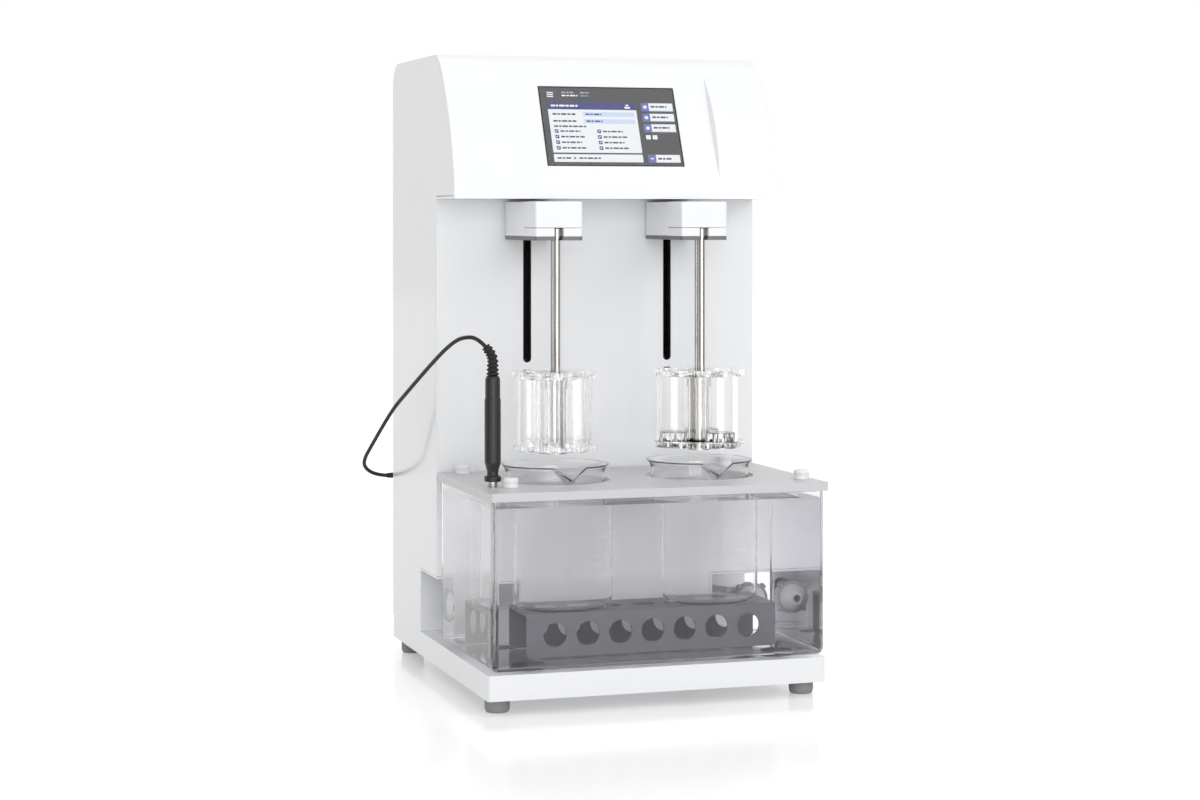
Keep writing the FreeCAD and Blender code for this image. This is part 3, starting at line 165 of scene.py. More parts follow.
class TesterStudio(bpy.types.PropertyGroup):
    camera: place("Camera", (-0.84384, -2.62619, 0.50456), "Where the camera stands")
    turn: bpy.props.FloatProperty(
        name="Camera turn", description="Camera's heading", default=math.radians(-17.825), subtype="ANGLE"
    )
    lens: plain("Lens", 75.117, "Focal length in millimetres", 10.0, 300.0)
    shift: plain("Vertical shift", -0.15525, "Camera's vertical shift", -1.0, 1.0)
    key: plain("Key light", 14.0, "Power of the large light at the front right")
    front: plain("Front light", 26.0, "Power of the light straight in front")
    top: plain("Top light", 4.0, "Power of the light overhead")
    sky: plain("Sky", 0.80, "Strength of the even light around", 0.0, 5.0)


SETTINGS = {
    "tester_housing": TesterHousing,
    "tester_screen": TesterScreen,
    "tester_baskets": TesterBaskets,
    "tester_bath": TesterBath,
    "tester_probe": TesterProbe,
    "tester_studio": TesterStudio,
}


def setting(name):
    return getattr(bpy.context.scene, "tester_" + name)


# ---------------------------------------------------------------- node helpers
def add(tree, kind, *feeds, **values):
    """A node: feeds go to its inputs in order, values to its properties or named inputs. Sockets are linked."""
    node = tree.nodes.new(kind)
    wanted = dict(enumerate(feeds))
    for key, value in values.items():
        if hasattr(node, key):
            setattr(node, key, value)
        else:
            wanted[key.replace("_", " ")] = value
    for key, value in wanted.items():
        if isinstance(value, bpy.types.NodeSocket):
            tree.links.new(value, node.inputs[key])
        else:
            node.inputs[key].default_value = value
    return node


def calc(tree, operation, *values):
    """The result of a Math node on sockets or numbers."""
    return add(tree, "ShaderNodeMath", *values, operation=operation).outputs[0]


def new_tree(name, kind, inputs, outputs):
    """A node group, with the sockets that it is given and those that it gives."""
    tree = bpy.data.node_groups.new(name, kind)
    for direction, sockets in (("INPUT", inputs), ("OUTPUT", outputs)):
        for label, form, *default in sockets:
            socket = tree.interface.new_socket(label, in_out=direction, socket_type="NodeSocket" + form)
            if default:
                socket.default_value = default[0]
    return tree, tree.nodes.new("NodeGroupInput").outputs, tree.nodes.new("NodeGroupOutput").inputs


def ends(tree, result, *values):
    """Links values to a group's outputs, in order."""
    for socket, value in zip(result, values):
        tree.links.new(value, socket)
    return tree


# ---------------------------------------------------------------- shader groups
SURFACE = [("Color", "Color"), ("Roughness", "Float"), ("Height", "Float")]


def object_place(tree):
    return add(tree, "ShaderNodeTexCoord").outputs["Object"]


def noise(tree, where, scale, **values):
    return add(tree, "ShaderNodeTexNoise", Vector=where, Scale=scale, **values).outputs[0]


def tinted(tree, given, shade):
    """The group's colour, made lighter or darker by a shade near 1."""
    return add(tree, "ShaderNodeVectorMath", given["Color"], Scale=shade, operation="SCALE").outputs[0]


def moulded_surface():
    """Fine grain, slow shade changes and handling marks of a painted or moulded surface."""
    inputs = [
        ("Color", "Color", (0.8, 0.8, 0.8, 1)), ("Shade Spread", "Float", 0.02), ("Roughness", "Float", 0.3),
        ("Roughness Spread", "Float", 0.08), ("Grain Scale", "Float", 900.0), ("Grain Height", "Float", 0.1),
    ]
    tree, given, result = new_tree("Moulded Surface", "ShaderNodeTree", inputs, SURFACE)
    where = object_place(tree)
    slow = calc(tree, "SUBTRACT", noise(tree, where, 7.0, Detail=3.0), 0.5)
    fine = noise(tree, where, given["Grain Scale"], Detail=2.0)
    marks = calc(tree, "SUBTRACT", noise(tree, where, 45.0, Detail=5.0, Distortion=1.5), 0.5)
    shade = calc(tree, "ADD", calc(tree, "MULTIPLY", slow, given["Shade Spread"]), 1.0)
    rough = calc(tree, "MULTIPLY_ADD", marks, given["Roughness Spread"], given["Roughness"])
    height = calc(tree, "MULTIPLY", fine, given["Grain Height"])
    return ends(tree, result, tinted(tree, given, shade), rough, height)


def drawn_metal():
    """Fine lines along one axis, as drawing or turning leaves them, with slow smudges."""
    inputs = [
        ("Color", "Color", (0.5, 0.5, 0.5, 1)), ("Stretch", "Vector", (1.0, 1.0, 0.02)), ("Scale", "Float", 2500.0),
        ("Roughness", "Float", 0.2), ("Line Depth", "Float", 0.3),
    ]
    tree, given, result = new_tree("Drawn Metal", "ShaderNodeTree", inputs, SURFACE)
    where = object_place(tree)
    pull = add(tree, "ShaderNodeVectorMath", where, given["Stretch"], operation="MULTIPLY").outputs[0]
    lines = noise(tree, pull, given["Scale"], Detail=3.0)
    smudge = noise(tree, where, 60.0, Detail=4.0)
    shade = calc(tree, "MULTIPLY_ADD", lines, 0.22, 0.89)
    rough = calc(tree, "MULTIPLY_ADD", smudge, 0.12, given["Roughness"])
    rough = calc(tree, "MULTIPLY_ADD", lines, 0.08, rough)
    height = calc(tree, "MULTIPLY", lines, given["Line Depth"])
    return ends(tree, result, tinted(tree, given, shade), rough, height)


def clear_surface():
    """Faint waves and smears of a clear wall."""
    inputs = [
        ("Color", "Color", (1, 1, 1, 1)), ("Smear", "Float", 0.02), ("Wave Scale", "Float", 18.0),
        ("Wave Height", "Float", 0.1),
    ]
    tree, given, result = new_tree("Clear Surface", "ShaderNodeTree", inputs, SURFACE)
    where = object_place(tree)
    smear = noise(tree, where, 32.0, Detail=4.0, Distortion=0.8)
    wave = noise(tree, where, given["Wave Scale"], Detail=1.0)
    streak = calc(tree, "MAXIMUM", calc(tree, "SUBTRACT", smear, 0.55), 0.0)
    shade = calc(tree, "MULTIPLY_ADD", streak, -0.08, 1.0)
    rough = calc(tree, "MULTIPLY", streak, given["Smear"])
    height = calc(tree, "MULTIPLY", wave, given["Wave Height"])
    return ends(tree, result, tinted(tree, given, shade), rough, height)


def lit_panel():
    """A lit display: a fine pixel grid and slow changes of its brightness."""
    inputs = [("Color", "Color", (1, 1, 1, 1)), ("Pixel Scale", "Float", 2600.0), ("Grid Depth", "Float", 0.06)]
    tree, given, result = new_tree("Lit Panel", "ShaderNodeTree", inputs, SURFACE[:1])
    where = object_place(tree)
    grid = add(tree, "ShaderNodeTexBrick", Vector=where, Scale=given["Pixel Scale"], offset=0.0).outputs["Fac"]
    shade = calc(tree, "SUBTRACT", 1.0, calc(tree, "MULTIPLY", grid, given["Grid Depth"]))
    shade = calc(tree, "MULTIPLY_ADD", noise(tree, where, 9.0), 0.06, shade)
    return ends(tree, result, tinted(tree, given, shade))


# ---------------------------------------------------------------- geometry groups
def geometry_tree(name, inputs):
    inputs = [("Geometry", "Geometry"), *inputs, ("Material", "Material")]
    return new_tree(name, "GeometryNodeTree", inputs, [("Geometry", "Geometry")])


def end_geometry(tree, given, result, geometry):
    """Every geometry group ends in Realize Instances and Set Material."""
    real = add(tree, "GeometryNodeRealizeInstances", geometry).outputs[0]
    paint = add(tree, "GeometryNodeSetMaterial", Geometry=real, Material=given["Material"])
    return ends(tree, result, paint.outputs[0])


def ring_of_copies():
    """Copies of the piece evenly round a ring, each turned to face outwards."""
    inputs = [("Count", "Int", 6), ("Ring Radius", "Float", 0.03), ("First Angle", "Float", 0.0), ("Centre", "Vector")]
    tree, given, result = geometry_tree("Ring Of Copies", inputs)
    ring = add(tree, "GeometryNodeMeshCircle", Vertices=given["Count"], Radius=given["Ring Radius"]).outputs[0]
    start = add(tree, "ShaderNodeCombineXYZ", Z=given["First Angle"]).outputs[0]
    turn = add(tree, "GeometryNodeTransform", Geometry=ring, Rotation=start, Translation=given["Centre"])
    step = calc(tree, "DIVIDE", 2 * math.pi, given["Count"])
    number = add(tree, "GeometryNodeInputIndex").outputs[0]
    angle = calc(tree, "MULTIPLY_ADD", number, step, given["First Angle"])
    spin = add(tree, "ShaderNodeCombineXYZ", Z=angle).outputs[0]
    copies = add(
        tree, "GeometryNodeInstanceOnPoints", Points=turn.outputs[0], Instance=given["Geometry"], Rotation=spin
    )
    return end_geometry(tree, given, result, copies.outputs[0])


def rows_of_copies():
    """Copies of the piece along a row, and copies of that row along another."""
    inputs = [("Start", "Vector"), ("Count", "Int", 2), ("Step", "Vector"), ("Rows", "Int", 2), ("Row Step", "Vector")]
    tree, given, result = geometry_tree("Rows Of Copies", inputs)
    line = add(
        tree, "GeometryNodeMeshLine", Count=given["Count"], Offset=given["Step"], Start_Location=given["Start"]
    ).outputs[0]
    copies = add(tree, "GeometryNodeInstanceOnPoints", Points=line, Instance=given["Geometry"]).outputs[0]
    row = add(tree, "GeometryNodeRealizeInstances", copies).outputs[0]
    rows = add(tree, "GeometryNodeMeshLine", Count=given["Rows"], Offset=given["Row Step"]).outputs[0]
    more = add(tree, "GeometryNodeInstanceOnPoints", Points=rows, Instance=row)
    return end_geometry(tree, given, result, more.outputs[0])


def ribbed_sweep():
    """A round body along the curve whose ribs rise and fall along it, thinning towards its end."""
    inputs = [
        ("Core Radius", "Float", 0.005), ("Rib Height", "Float", 0.001), ("Rib Pitch", "Float", 0.003),
        ("Rib Sharpness", "Float", 1.0), ("Taper", "Float", 0.0), ("Step", "Float", 0.0005), ("Sides", "Int", 24),
    ]
    tree, given, result = geometry_tree("Ribbed Sweep", inputs)
    even = add(tree, "GeometryNodeResampleCurve", Curve=given["Geometry"], Length=given["Step"], mode="LENGTH")
    along = add(tree, "GeometryNodeSplineParameter").outputs
    turns = calc(tree, "DIVIDE", along["Length"], given["Rib Pitch"])
    wave = calc(tree, "COSINE", calc(tree, "MULTIPLY", turns, 2 * math.pi))
    wave = calc(tree, "MULTIPLY_ADD", wave, -0.5, 0.5)
    wave = calc(tree, "POWER", wave, given["Rib Sharpness"])
    size = calc(tree, "MULTIPLY_ADD", wave, given["Rib Height"], given["Core Radius"])
    thin = calc(tree, "SUBTRACT", 1.0, calc(tree, "MULTIPLY", along["Factor"], given["Taper"]))
    size = calc(tree, "MULTIPLY", size, thin)
    ring = add(tree, "GeometryNodeCurvePrimitiveCircle", Radius=1.0, Resolution=given["Sides"]).outputs[0]
    skin = add(
        tree, "GeometryNodeCurveToMesh", Curve=even.outputs[0], Profile_Curve=ring, Scale=size, Fill_Caps=True
    )
    return end_geometry(tree, given, result, skin.outputs[0])


def woven_wires():
    """Wires of a round mesh, over and under each other, in two directions; the curve given is one straight wire."""
    inputs = [
        ("Mesh Radius", "Float", 0.011), ("Pitch", "Float", 0.0024), ("Wire Radius", "Float", 0.0003),
        ("Wires", "Int", 9),
    ]
    tree, given, result = geometry_tree("Woven Wires", inputs)
    span = calc(tree, "SUBTRACT", given["Wires"], 1.0)
    half = calc(tree, "MULTIPLY", calc(tree, "MULTIPLY", span, given["Pitch"]), -0.5)
    start = add(tree, "ShaderNodeCombineXYZ", Y=half).outputs[0]
    step = add(tree, "ShaderNodeCombineXYZ", Y=given["Pitch"]).outputs[0]
    line = add(tree, "GeometryNodeMeshLine", Count=given["Wires"], Start_Location=start, Offset=step).outputs[0]
    copies = add(tree, "GeometryNodeInstanceOnPoints", Points=line, Instance=given["Geometry"]).outputs[0]
    real = add(tree, "GeometryNodeRealizeInstances", copies).outputs[0]
    at = add(tree, "GeometryNodeInputPosition").outputs[0]
    x, y = add(tree, "ShaderNodeSeparateXYZ", at).outputs[:2]
    phase, row = calc(tree, "DIVIDE", x, given["Pitch"]), calc(tree, "DIVIDE", y, given["Pitch"])
    wave = calc(tree, "COSINE", calc(tree, "MULTIPLY", calc(tree, "ADD", phase, row), math.pi))
    rise = calc(tree, "MULTIPLY", wave, given["Wire Radius"])
    lift = add(tree, "ShaderNodeCombineXYZ", Z=rise).outputs[0]
    move = add(tree, "GeometryNodeSetPosition", Geometry=real, Offset=lift).outputs[0]
    reach = calc(tree, "ADD", calc(tree, "POWER", x, 2.0), calc(tree, "POWER", y, 2.0))
    outside = calc(tree, "GREATER_THAN", calc(tree, "SQRT", reach), given["Mesh Radius"])
    trim = add(tree, "GeometryNodeDeleteGeometry", Geometry=move, Selection=outside, domain="POINT").outputs[0]
    ring = add(tree, "GeometryNodeCurvePrimitiveCircle", Resolution=6, Radius=given["Wire Radius"]).outputs[0]
    skin = add(tree, "GeometryNodeCurveToMesh", Curve=trim, Profile_Curve=ring, Fill_Caps=True).outputs[0]
    across = add(tree, "GeometryNodeTransform", Geometry=skin, Rotation=(math.pi, 0.0, math.pi / 2))
    both = add(tree, "GeometryNodeJoinGeometry", skin)
    tree.links.new(across.outputs[0], both.inputs[0])
    return end_geometry(tree, given, result, both.outputs[0])


@functools.cache
def group(name):
    """A shader or geometry group, built when it is first asked for."""
    makers = {
        "moulded": moulded_surface, "drawn": drawn_metal, "clear": clear_surface, "lit": lit_panel,
        "ring": ring_of_copies, "rows": rows_of_copies, "ribs": ribbed_sweep, "weave": woven_wires,
    }
    return makers[name]()


# ---------------------------------------------------------------- materials
FINISHES = {}
BUMP_DEPTH = 0.0002
CLEAR_TINT = (0.985, 0.985, 0.985)  # of the light that clear pieces let through
NO_TINT = (1.0, 1.0, 1.0)


def material(name, form, tint, inputs, shader, seen_through=None):
    """A Principled material fed by one shader group. Clear ones let shadow and diffuse rays through."""
    made = bpy.data.materials.new(name)
    made.use_nodes = True
    tree = made.node_tree
    bsdf = tree.nodes["Principled BSDF"]
    for key, value in shader.items():
        bsdf.inputs[key].default_value = value
    use = add(tree, "ShaderNodeGroup", node_tree=group(form), **{"Color": (*tint, 1), **inputs}).outputs
    if form == "lit":
        tree.links.new(use["Color"], bsdf.inputs["Emission Color"])
    else:
        relief = add(tree, "ShaderNodeBump", Strength=1.0, Distance=BUMP_DEPTH, Height=use["Height"])
        tree.links.new(use["Color"], bsdf.inputs["Base Color"])
        tree.links.new(use["Roughness"], bsdf.inputs["Roughness"])
        tree.links.new(relief.outputs[0], bsdf.inputs["Normal"])
    if seen_through:
        path = add(tree, "ShaderNodeLightPath").outputs
        either = calc(tree, "MAXIMUM", path["Is Shadow Ray"], path["Is Diffuse Ray"])
        clear = add(tree, "ShaderNodeBsdfTransparent", Color=(*seen_through, 1))
        mix = add(tree, "ShaderNodeMixShader", either, bsdf.outputs[0], clear.outputs[0])
        tree.links.new(mix.outputs[0], tree.nodes["Material Output"].inputs["Surface"])
    return made


def milky(weight, reach):
    return {"Subsurface Weight": weight, "Subsurface Radius": (reach, reach, reach)}


def make_materials():
    housing, bath, probe = setting("housing"), setting("bath"), setting("probe")
    screen, steel = setting("screen"), setting("baskets").steel
    gloss = {"Roughness": 0.24, "Roughness Spread": 0.08, "Grain Scale": 520.0, "Grain Height": 0.05}
    satin = {"Roughness": 0.42, "Roughness Spread": 0.12, "Grain Scale": 1400.0, "Grain Height": 0.25}
    soft = {
        "Roughness": 0.66, "Roughness Spread": 0.15, "Grain Scale": 1800.0, "Grain Height": 0.5, "Shade Spread": 0.2
    }
    coat = {"Coat Weight": 0.35, "Coat Roughness": 0.06}
    upright = {"Stretch": (1.0, 1.0, 0.012), "Roughness": 0.10, "Line Depth": 0.25}
    turned = {"Stretch": (0.05, 0.05, 1.0), "Roughness": 0.16, "Line Depth": 0.4}
    metal = {"Metallic": 1.0}
    still = {"Smear": 0.03, "Wave Height": 0.05}
    rippled = {"Smear": 0.0, "Wave Height": 0.35, "Wave Scale": 14.0}
    glass = {"Transmission Weight": 1.0, "IOR": 1.5}
    display = {"Base Color": (0.01, 0.01, 0.012, 1), "Roughness": 0.09, "Emission Strength": screen.glow}
    make = {
        "housing_paint": ("moulded", housing.paint, gloss, coat),
        "head_moulding": ("moulded", housing.moulding, gloss, coat),
        "block_plate_paint": ("moulded", housing.plate, satin, {"Metallic": 0.4}),
        "motor_black": ("moulded", (0.03, 0.03, 0.033), satin, {"Metallic": 0.5}),
        "inside_metal": ("drawn", housing.inside_metal, {"Stretch": (0.04, 1.0, 1.0)}, metal),
        "polished_steel": ("drawn", steel, upright, metal),
        "turned_steel": ("drawn", steel, turned, metal),
        "wire_steel": ("drawn", (0.42, 0.42, 0.41), {"Scale": 900.0, "Roughness": 0.2}, metal),
        "cover_grey": ("moulded", bath.cover, {**satin, "Roughness": 0.34}, milky(0.15, 0.004)),
        "milky_knob": ("moulded", bath.knob, {**satin, "Roughness": 0.3}, milky(0.6, 0.006)),
        "hose_grey": ("moulded", (0.42, 0.43, 0.45), satin, milky(0.2, 0.002)),
        "bath_acrylic": ("clear", bath.acrylic, still, {**glass, "IOR": 1.49}),
        "lab_glass": ("clear", bath.glass, still, glass),
        "glass_in_water": ("clear", bath.glass, still, {**glass, "IOR": 1.125}),
        "acrylic_in_water": ("clear", bath.acrylic, still, {**glass, "IOR": 1.118}),
        "bath_water": ("clear", NO_TINT, rippled, {**glass, "IOR": 1.333}),
        # Sides and floor of the water bend no light. Their tint darkens everything seen through the bath, partly as
        # painted shade.
        "water_tint_and_shade": ("clear", bath.water, {"Smear": 0.0, "Wave Height": 0.0}, {**glass, "IOR": 1.0}),
        "cover_glass": ("clear", NO_TINT, still, {**glass, "IOR": 1.45}),
    }
    tints = {
        "slot_black": (0.006, 0.006, 0.007), "dark_moulding": probe.shell, "board_green": (0.012, 0.11, 0.035),
        "rack_grey": bath.rack, "coupling_grey": bath.coupling, "nozzle_grey": bath.nozzle,
    }
    make.update({name: ("moulded", tint, satin, {}) for name, tint in tints.items()})
    tints = {"foot_rubber": housing.foot_rubber, "dark_rubber": probe.rubber, "white_print": (0.74, 0.75, 0.76)}
    make.update({name: ("moulded", tint, soft, {}) for name, tint in tints.items()})
    tints = {
        "menu_back": screen.back, "menu_title": screen.title, "menu_sheet": screen.sheet, "menu_field": screen.field,
        "menu_tile": screen.tile, "menu_ink": screen.dark_ink, "menu_cyan": (0.06, 0.42, 0.62),
        "menu_green": (0.02, 0.42, 0.05), "menu_grey": (0.42, 0.43, 0.46),
    }
    make.update({name: ("lit", tint, {}, display) for name, tint in tints.items()})
    passing = {name: CLEAR_TINT for name in make if make[name][0] == "clear"} | {"cover_glass": NO_TINT}
    for name, given in make.items():
        FINISHES[name] = material(name, *given, passing.get(name))


def mat(name):
    return FINISHES[name]


# ---------------------------------------------------------------- mesh helpers
def put(name, data):
    """A new object in the scene."""
    obj = bpy.data.objects.new(name, data)
    bpy.context.scene.collection.objects.link(obj)
    return obj


def to_object(name, bm, materials, smooth=32.0):
    """A new object at the origin from a bmesh, shaded smooth up to an angle."""
    mesh = bpy.data.meshes.new(name)
    bm.to_mesh(mesh)
    bm.free()
    for m in materials:
        mesh.materials.append(mat(m))
    shade(mesh, smooth)
    return put(name, mesh)


def shade(mesh, smooth):
    mesh.shade_smooth()
    mesh.set_sharp_from_angle(angle=math.radians(smooth))


def evaluated_mesh(obj):
    """The mesh that an object's modifiers, curve or text give."""
    bpy.context.view_layer.update()
    graph = bpy.context.evaluated_depsgraph_get()
    return bpy.data.meshes.new_from_object(obj.evaluated_get(graph), depsgraph=graph)


def evaluated(obj, name):
    """A plain mesh object from an object's modifiers; the old object is removed."""
    mesh = evaluated_mesh(obj)
    bpy.data.objects.remove(obj)
    mesh.name = name
    return put(name, mesh)


def run_tree(obj, form, name, finish, values, smooth=40.0):
    """Runs a geometry group on obj and keeps its result as a plain mesh of one finish."""
    modifier = obj.modifiers.new(form, "NODES")
    modifier.node_group = group(form)
    ids = {item.name: item.identifier for item in group(form).interface.items_tree if item.in_out == "INPUT"}
    for key, value in {**values, "Material": mat(finish)}.items():
        modifier[ids[key]] = value
    made = evaluated(obj, name)
    made.data.materials.clear()
    made.data.materials.append(mat(finish))
    made.data.polygons.foreach_set("material_index", [0] * len(made.data.polygons))
    shade(made.data, smooth)
    return made


def joined(name, objects):
    """One mesh object from several, with their materials."""
    bm = bmesh.new()
    names = []
    for obj in objects:
        part = obj.data.copy()
        shift = []
        for m in part.materials:
            if m.name not in names:
                names.append(m.name)
            shift.append(names.index(m.name))
        for polygon in part.polygons:
            polygon.material_index = shift[polygon.material_index] if shift else 0
        bm.from_mesh(part)
        bpy.data.meshes.remove(part)
        bpy.data.objects.remove(obj)
    return to_object(name, bm, names)


def finished(obj, node):
    """Sets a piece on its CAD node's body in place of that node."""
    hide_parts(node)
    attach(obj, BODY[node])
    return obj


def flattened(obj):
    """Keeps the light even on flat faces beside rounded edges."""
    weighted = obj.modifiers.new("Flat faces", "WEIGHTED_NORMAL")
    weighted.keep_sharp = True
    return evaluated(obj, obj.name)


SHARP_ANGLE = math.radians(38)


def softened(node, name, finish, width, wide=0.0, pick=None, source=None):
    """A copy of a CAD node, or of source, with rounded edges: wide on those that pick takes, width on the others."""
    bm = bmesh.new()
    bm.from_mesh((source or NODES[node]).data)
    if source:
        bpy.data.objects.remove(source)
    bmesh.ops.remove_doubles(bm, verts=bm.verts, dist=1e-5)
    bmesh.ops.dissolve_limit(bm, angle_limit=math.radians(1.0), verts=bm.verts, edges=bm.edges)
    for amount, wanted, segments in ((wide, pick, 4), (width, None, 2)):
        if not amount:
            continue
        sharp = [e for e in bm.edges if e.is_manifold and e.calc_face_angle(0) > SHARP_ANGLE]
        if wanted:
            sharp = [e for e in sharp if wanted(e)]
        bmesh.ops.bevel(
            bm, geom=sharp, offset=amount, offset_type="OFFSET", segments=segments, profile=0.5,
            affect="EDGES", clamp_overlap=True,
        )
    return finished(flattened(to_object(name, bm, [finish])), node)


def band(bm, low, high, matter=0):
    """Faces between two rings of vertices; a ring of one vertex closes the skin at a point."""
    steps = max(len(low), len(high))
    for i in range(steps):
        j = (i + 1) % steps
        if len(low) == 1:
            corners = (low[0], high[j], high[i])
        elif len(high) == 1:
            corners = (low[i], low[j], high[0])
        else:
            corners = (low[i], low[j], high[j], high[i])
        bm.faces.new(corners).material_index = matter


def lathe(bm, profile, centre=(0, 0, 0), steps=64):
    """Turns (radius, height) points about a vertical line. A closed profile gives a ring, others end on the axis."""
    x, y, z = centre
    closed = profile[0] == profile[-1]
    rings = []
    for radius, height in profile[:-1] if closed else profile:
        angles = [2 * math.pi * i / steps for i in range(steps if radius > 1e-7 else 1)]
        rings.append([bm.verts.new((x + radius * math.cos(a), y + radius * math.sin(a), z + height)) for a in angles])
    if closed:
        rings.append(rings[0])
    for low, high in zip(rings, rings[1:]):
        band(bm, low, high)


def rounded(profile, radius, steps=3):
    """A profile whose corners are rounded by arcs of at most radius; a ring beside each arc keeps the walls flat."""
    most, beside = 0.42, 0.15
    points = [profile[0]]
    for before, corner, after in zip(profile, profile[1:], profile[2:]):
        b, c, a = Vector(before), Vector(corner), Vector(after)
        arrive, leave = b - c, a - c
        reach = min(radius, arrive.length * most, leave.length * most)
        arrive, leave = arrive.normalized(), leave.normalized()
        p, q = c + arrive * reach, c + leave * reach
        points.append(tuple(p + arrive * reach * beside))
        for i in range(steps + 1):
            t = i / steps
            points.append(tuple(p * (1 - t) ** 2 + c * (2 * t * (1 - t)) + q * t**2))
        points.append(tuple(q + leave * reach * beside))
    points.append(profile[-1])
    return points


def quarter(start, steps):
    """Cosine and sine of the angles of a quarter turn from start degrees on."""
    angles = [math.radians(start + 90 * i / steps) for i in range(steps + 1)]
    return [(math.cos(angle), math.sin(angle)) for angle in angles]


def outward(bm):
    bmesh.ops.recalc_face_normals(bm, faces=bm.faces)
    return bm


def curve_object(name, points, kind="POLY"):
    """A curve object through points, or a smooth one that they steer."""
    data = bpy.data.curves.new(name, "CURVE")
    data.dimensions = "3D"
    data.resolution_u = 12
    spline = data.splines.new(kind)
    spline.points.add(len(points) - 1)
    for target, point in zip(spline.points, points):
        target.co = (*point, 1)
    if kind == "NURBS":
        spline.order_u = 3
        spline.use_endpoint_u = True
    return put(name, data)


def plate(bm, corners, thickness, matter=0, rim=0.0):
    """A thin closed slab on a flat outline of corners, thickened along its own normal."""
    corners = [Vector(p) for p in corners]
    a, b, c = corners[:3]
    normal = (b - a).cross(c - b).normalized()
    centre = sum(corners, Vector()) / len(corners)
    low = [bm.verts.new(p) for p in corners]
    high = [bm.verts.new(p + (centre - p) * rim + normal * thickness) for p in corners]
    for face in (high, list(reversed(low))):
        bm.faces.new(face).material_index = matter
    band(bm, low, high, matter)


def turned_copies(name, profile, steps, finish, form, values, node):
    """One turned piece, repeated by a group, as a single mesh in place of a CAD node."""
    bm = bmesh.new()
    lathe(bm, profile, steps=steps)
    obj = to_object(name, outward(bm), [finish])
    return finished(run_tree(obj, form, name, finish, values), node)


# ---------------------------------------------------------------- operators
class Maker:
    """What all the operators of this add-on share."""

    bl_options = {"REGISTER", "UNDO"}

    def execute(self, context):
        self.make()
        return {"FINISHED"}


class TESTER_OT_materials(Maker, bpy.types.Operator):
    """Makes the finishes of all the pieces"""

    bl_idname = "tester.materials"
    bl_label = "Finishes"

    def make(self):
        make_materials()


class TESTER_OT_camera(Maker, bpy.types.Operator):
    """Sets the camera in front, left of the middle, as a buyer would see the tester"""

    bl_idname = "tester.camera"
    bl_label = "Camera"

    def make(self):
        studio = setting("studio")
        data = bpy.data.cameras.new("camera")
        data.sensor_width = 36.0
        data.lens = studio.lens
        data.shift_y = studio.shift
        camera = put("camera", data)
        camera.location = studio.camera
        camera.rotation_euler = (math.radians(90), 0, studio.turn)
        bpy.context.scene.camera = camera


CORD_ROUTE = [
    (-0.1690, -0.1450, 0.3677), (-0.1769, -0.1391, 0.3776), (-0.1875, -0.1245, 0.3770), (-0.1918, -0.1030, 0.3715),
    (-0.1955, -0.0720, 0.3600), (-0.1988, -0.0340, 0.3445), (-0.2015, 0.0140, 0.3255), (-0.2043, 0.0620, 0.3060),
    (-0.2075, 0.1040, 0.2880), (-0.2115, 0.1410, 0.2652), (-0.2155, 0.1780, 0.2410), (-0.2185, 0.2080, 0.2215),
    (-0.2145, 0.2245, 0.2100), (-0.2000, 0.2340, 0.2003), (-0.1860, 0.2340, 0.1990),
]


class TESTER_OT_cord(Maker, bpy.types.Operator):
    """Runs the probe's cord from its boot round the column to its plug"""

    bl_idname = "tester.cord"
    bl_label = "Probe cord"

    def make(self):
        radius = setting("probe").cord_diameter / 2
        route = curve_object("cord_route", CORD_ROUTE, "NURBS")
        line = evaluated_mesh(route)
        bpy.data.meshes.remove(line)
        values = {"Core Radius": radius, "Rib Height": 0.0, "Step": 0.0022, "Sides": 16}
        cord = run_tree(route, "ribs", "probe_cord_run", "dark_rubber", values)
        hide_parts("probe_cord")
        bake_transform(cord)


def head_edge(edge):
    """Where a side of the head meets its front or its top."""
    sides = [face for face in edge.link_faces if abs(face.normal.x) > 0.9 and abs(edge.verts[0].co.x) > 0.18]
    fronts = [face for face in edge.link_faces if face.normal.y < -0.2 or face.normal.z > 0.6]
    return len(sides) == 1 and len(fronts) == 1


class TESTER_OT_housing(Maker, bpy.types.Operator):
    """Rounds and paints the base, the column, the head and the lift blocks"""

    bl_idname = "tester.housing"
    bl_label = "Base, column and blocks"

    def make(self):
        housing = setting("housing")
        softened("column_casing", "column_skin", "housing_paint", housing.edge)
        softened("head_cover", "head_skin", "head_moulding", 0.0006, housing.head_edge, head_edge)
        softened("column_front_panel", "front_skin", "housing_paint", 0.0005)
        softened("base_shell", "base_skin", "housing_paint", 0.0022)
        softened("rear_panel", "rear_skin", "housing_paint", 0.0005)
        softened("hose_recesses", "hose_recess_walls", "housing_paint", 0.0004)
        softened("base_bottom_plate", "base_floor", "inside_metal", 0.0003)
        softened("casing_screws", "screw_heads", "turned_steel", 0.0002)
        softened("slot_liners", "slot_lips", "slot_black", 0.0002)
        for side in SIDES:
            softened("drive_block_" + side, "lift_block_" + side, "head_moulding", 0.0016)
            softened("block_plate_" + side, "block_underside_" + side, "block_plate_paint", 0.0003)
            softened("hanger_clamp_" + side, "rod_clamp_" + side, "head_moulding", 0.0007)


# profiles of (radius, height)
FOOT_PROFILE = [
    (0, 0.015), (0.013, 0.015), (0.0128, 0.004), (0.0115, 0.0), (0.007, 0.0), (0.006, 0.002), (0, 0.002),
]
PAD_PROFILE = [(0, 0.00305), (0.0174, 0.00305), (0.0175, 0.0), (0, 0.0)]
FOOT_ROWS = {"Start": (-0.166, -0.1775, 0.0), "Count": 2, "Step": (0.332, 0, 0), "Rows": 2, "Row Step": (0, 0.364, 0)}
PAD_ROWS = {"Start": (-0.135, -0.1725, 0.041), "Count": 2, "Step": (0.27, 0, 0), "Rows": 2, "Row Step": (0, 0.136, 0)}


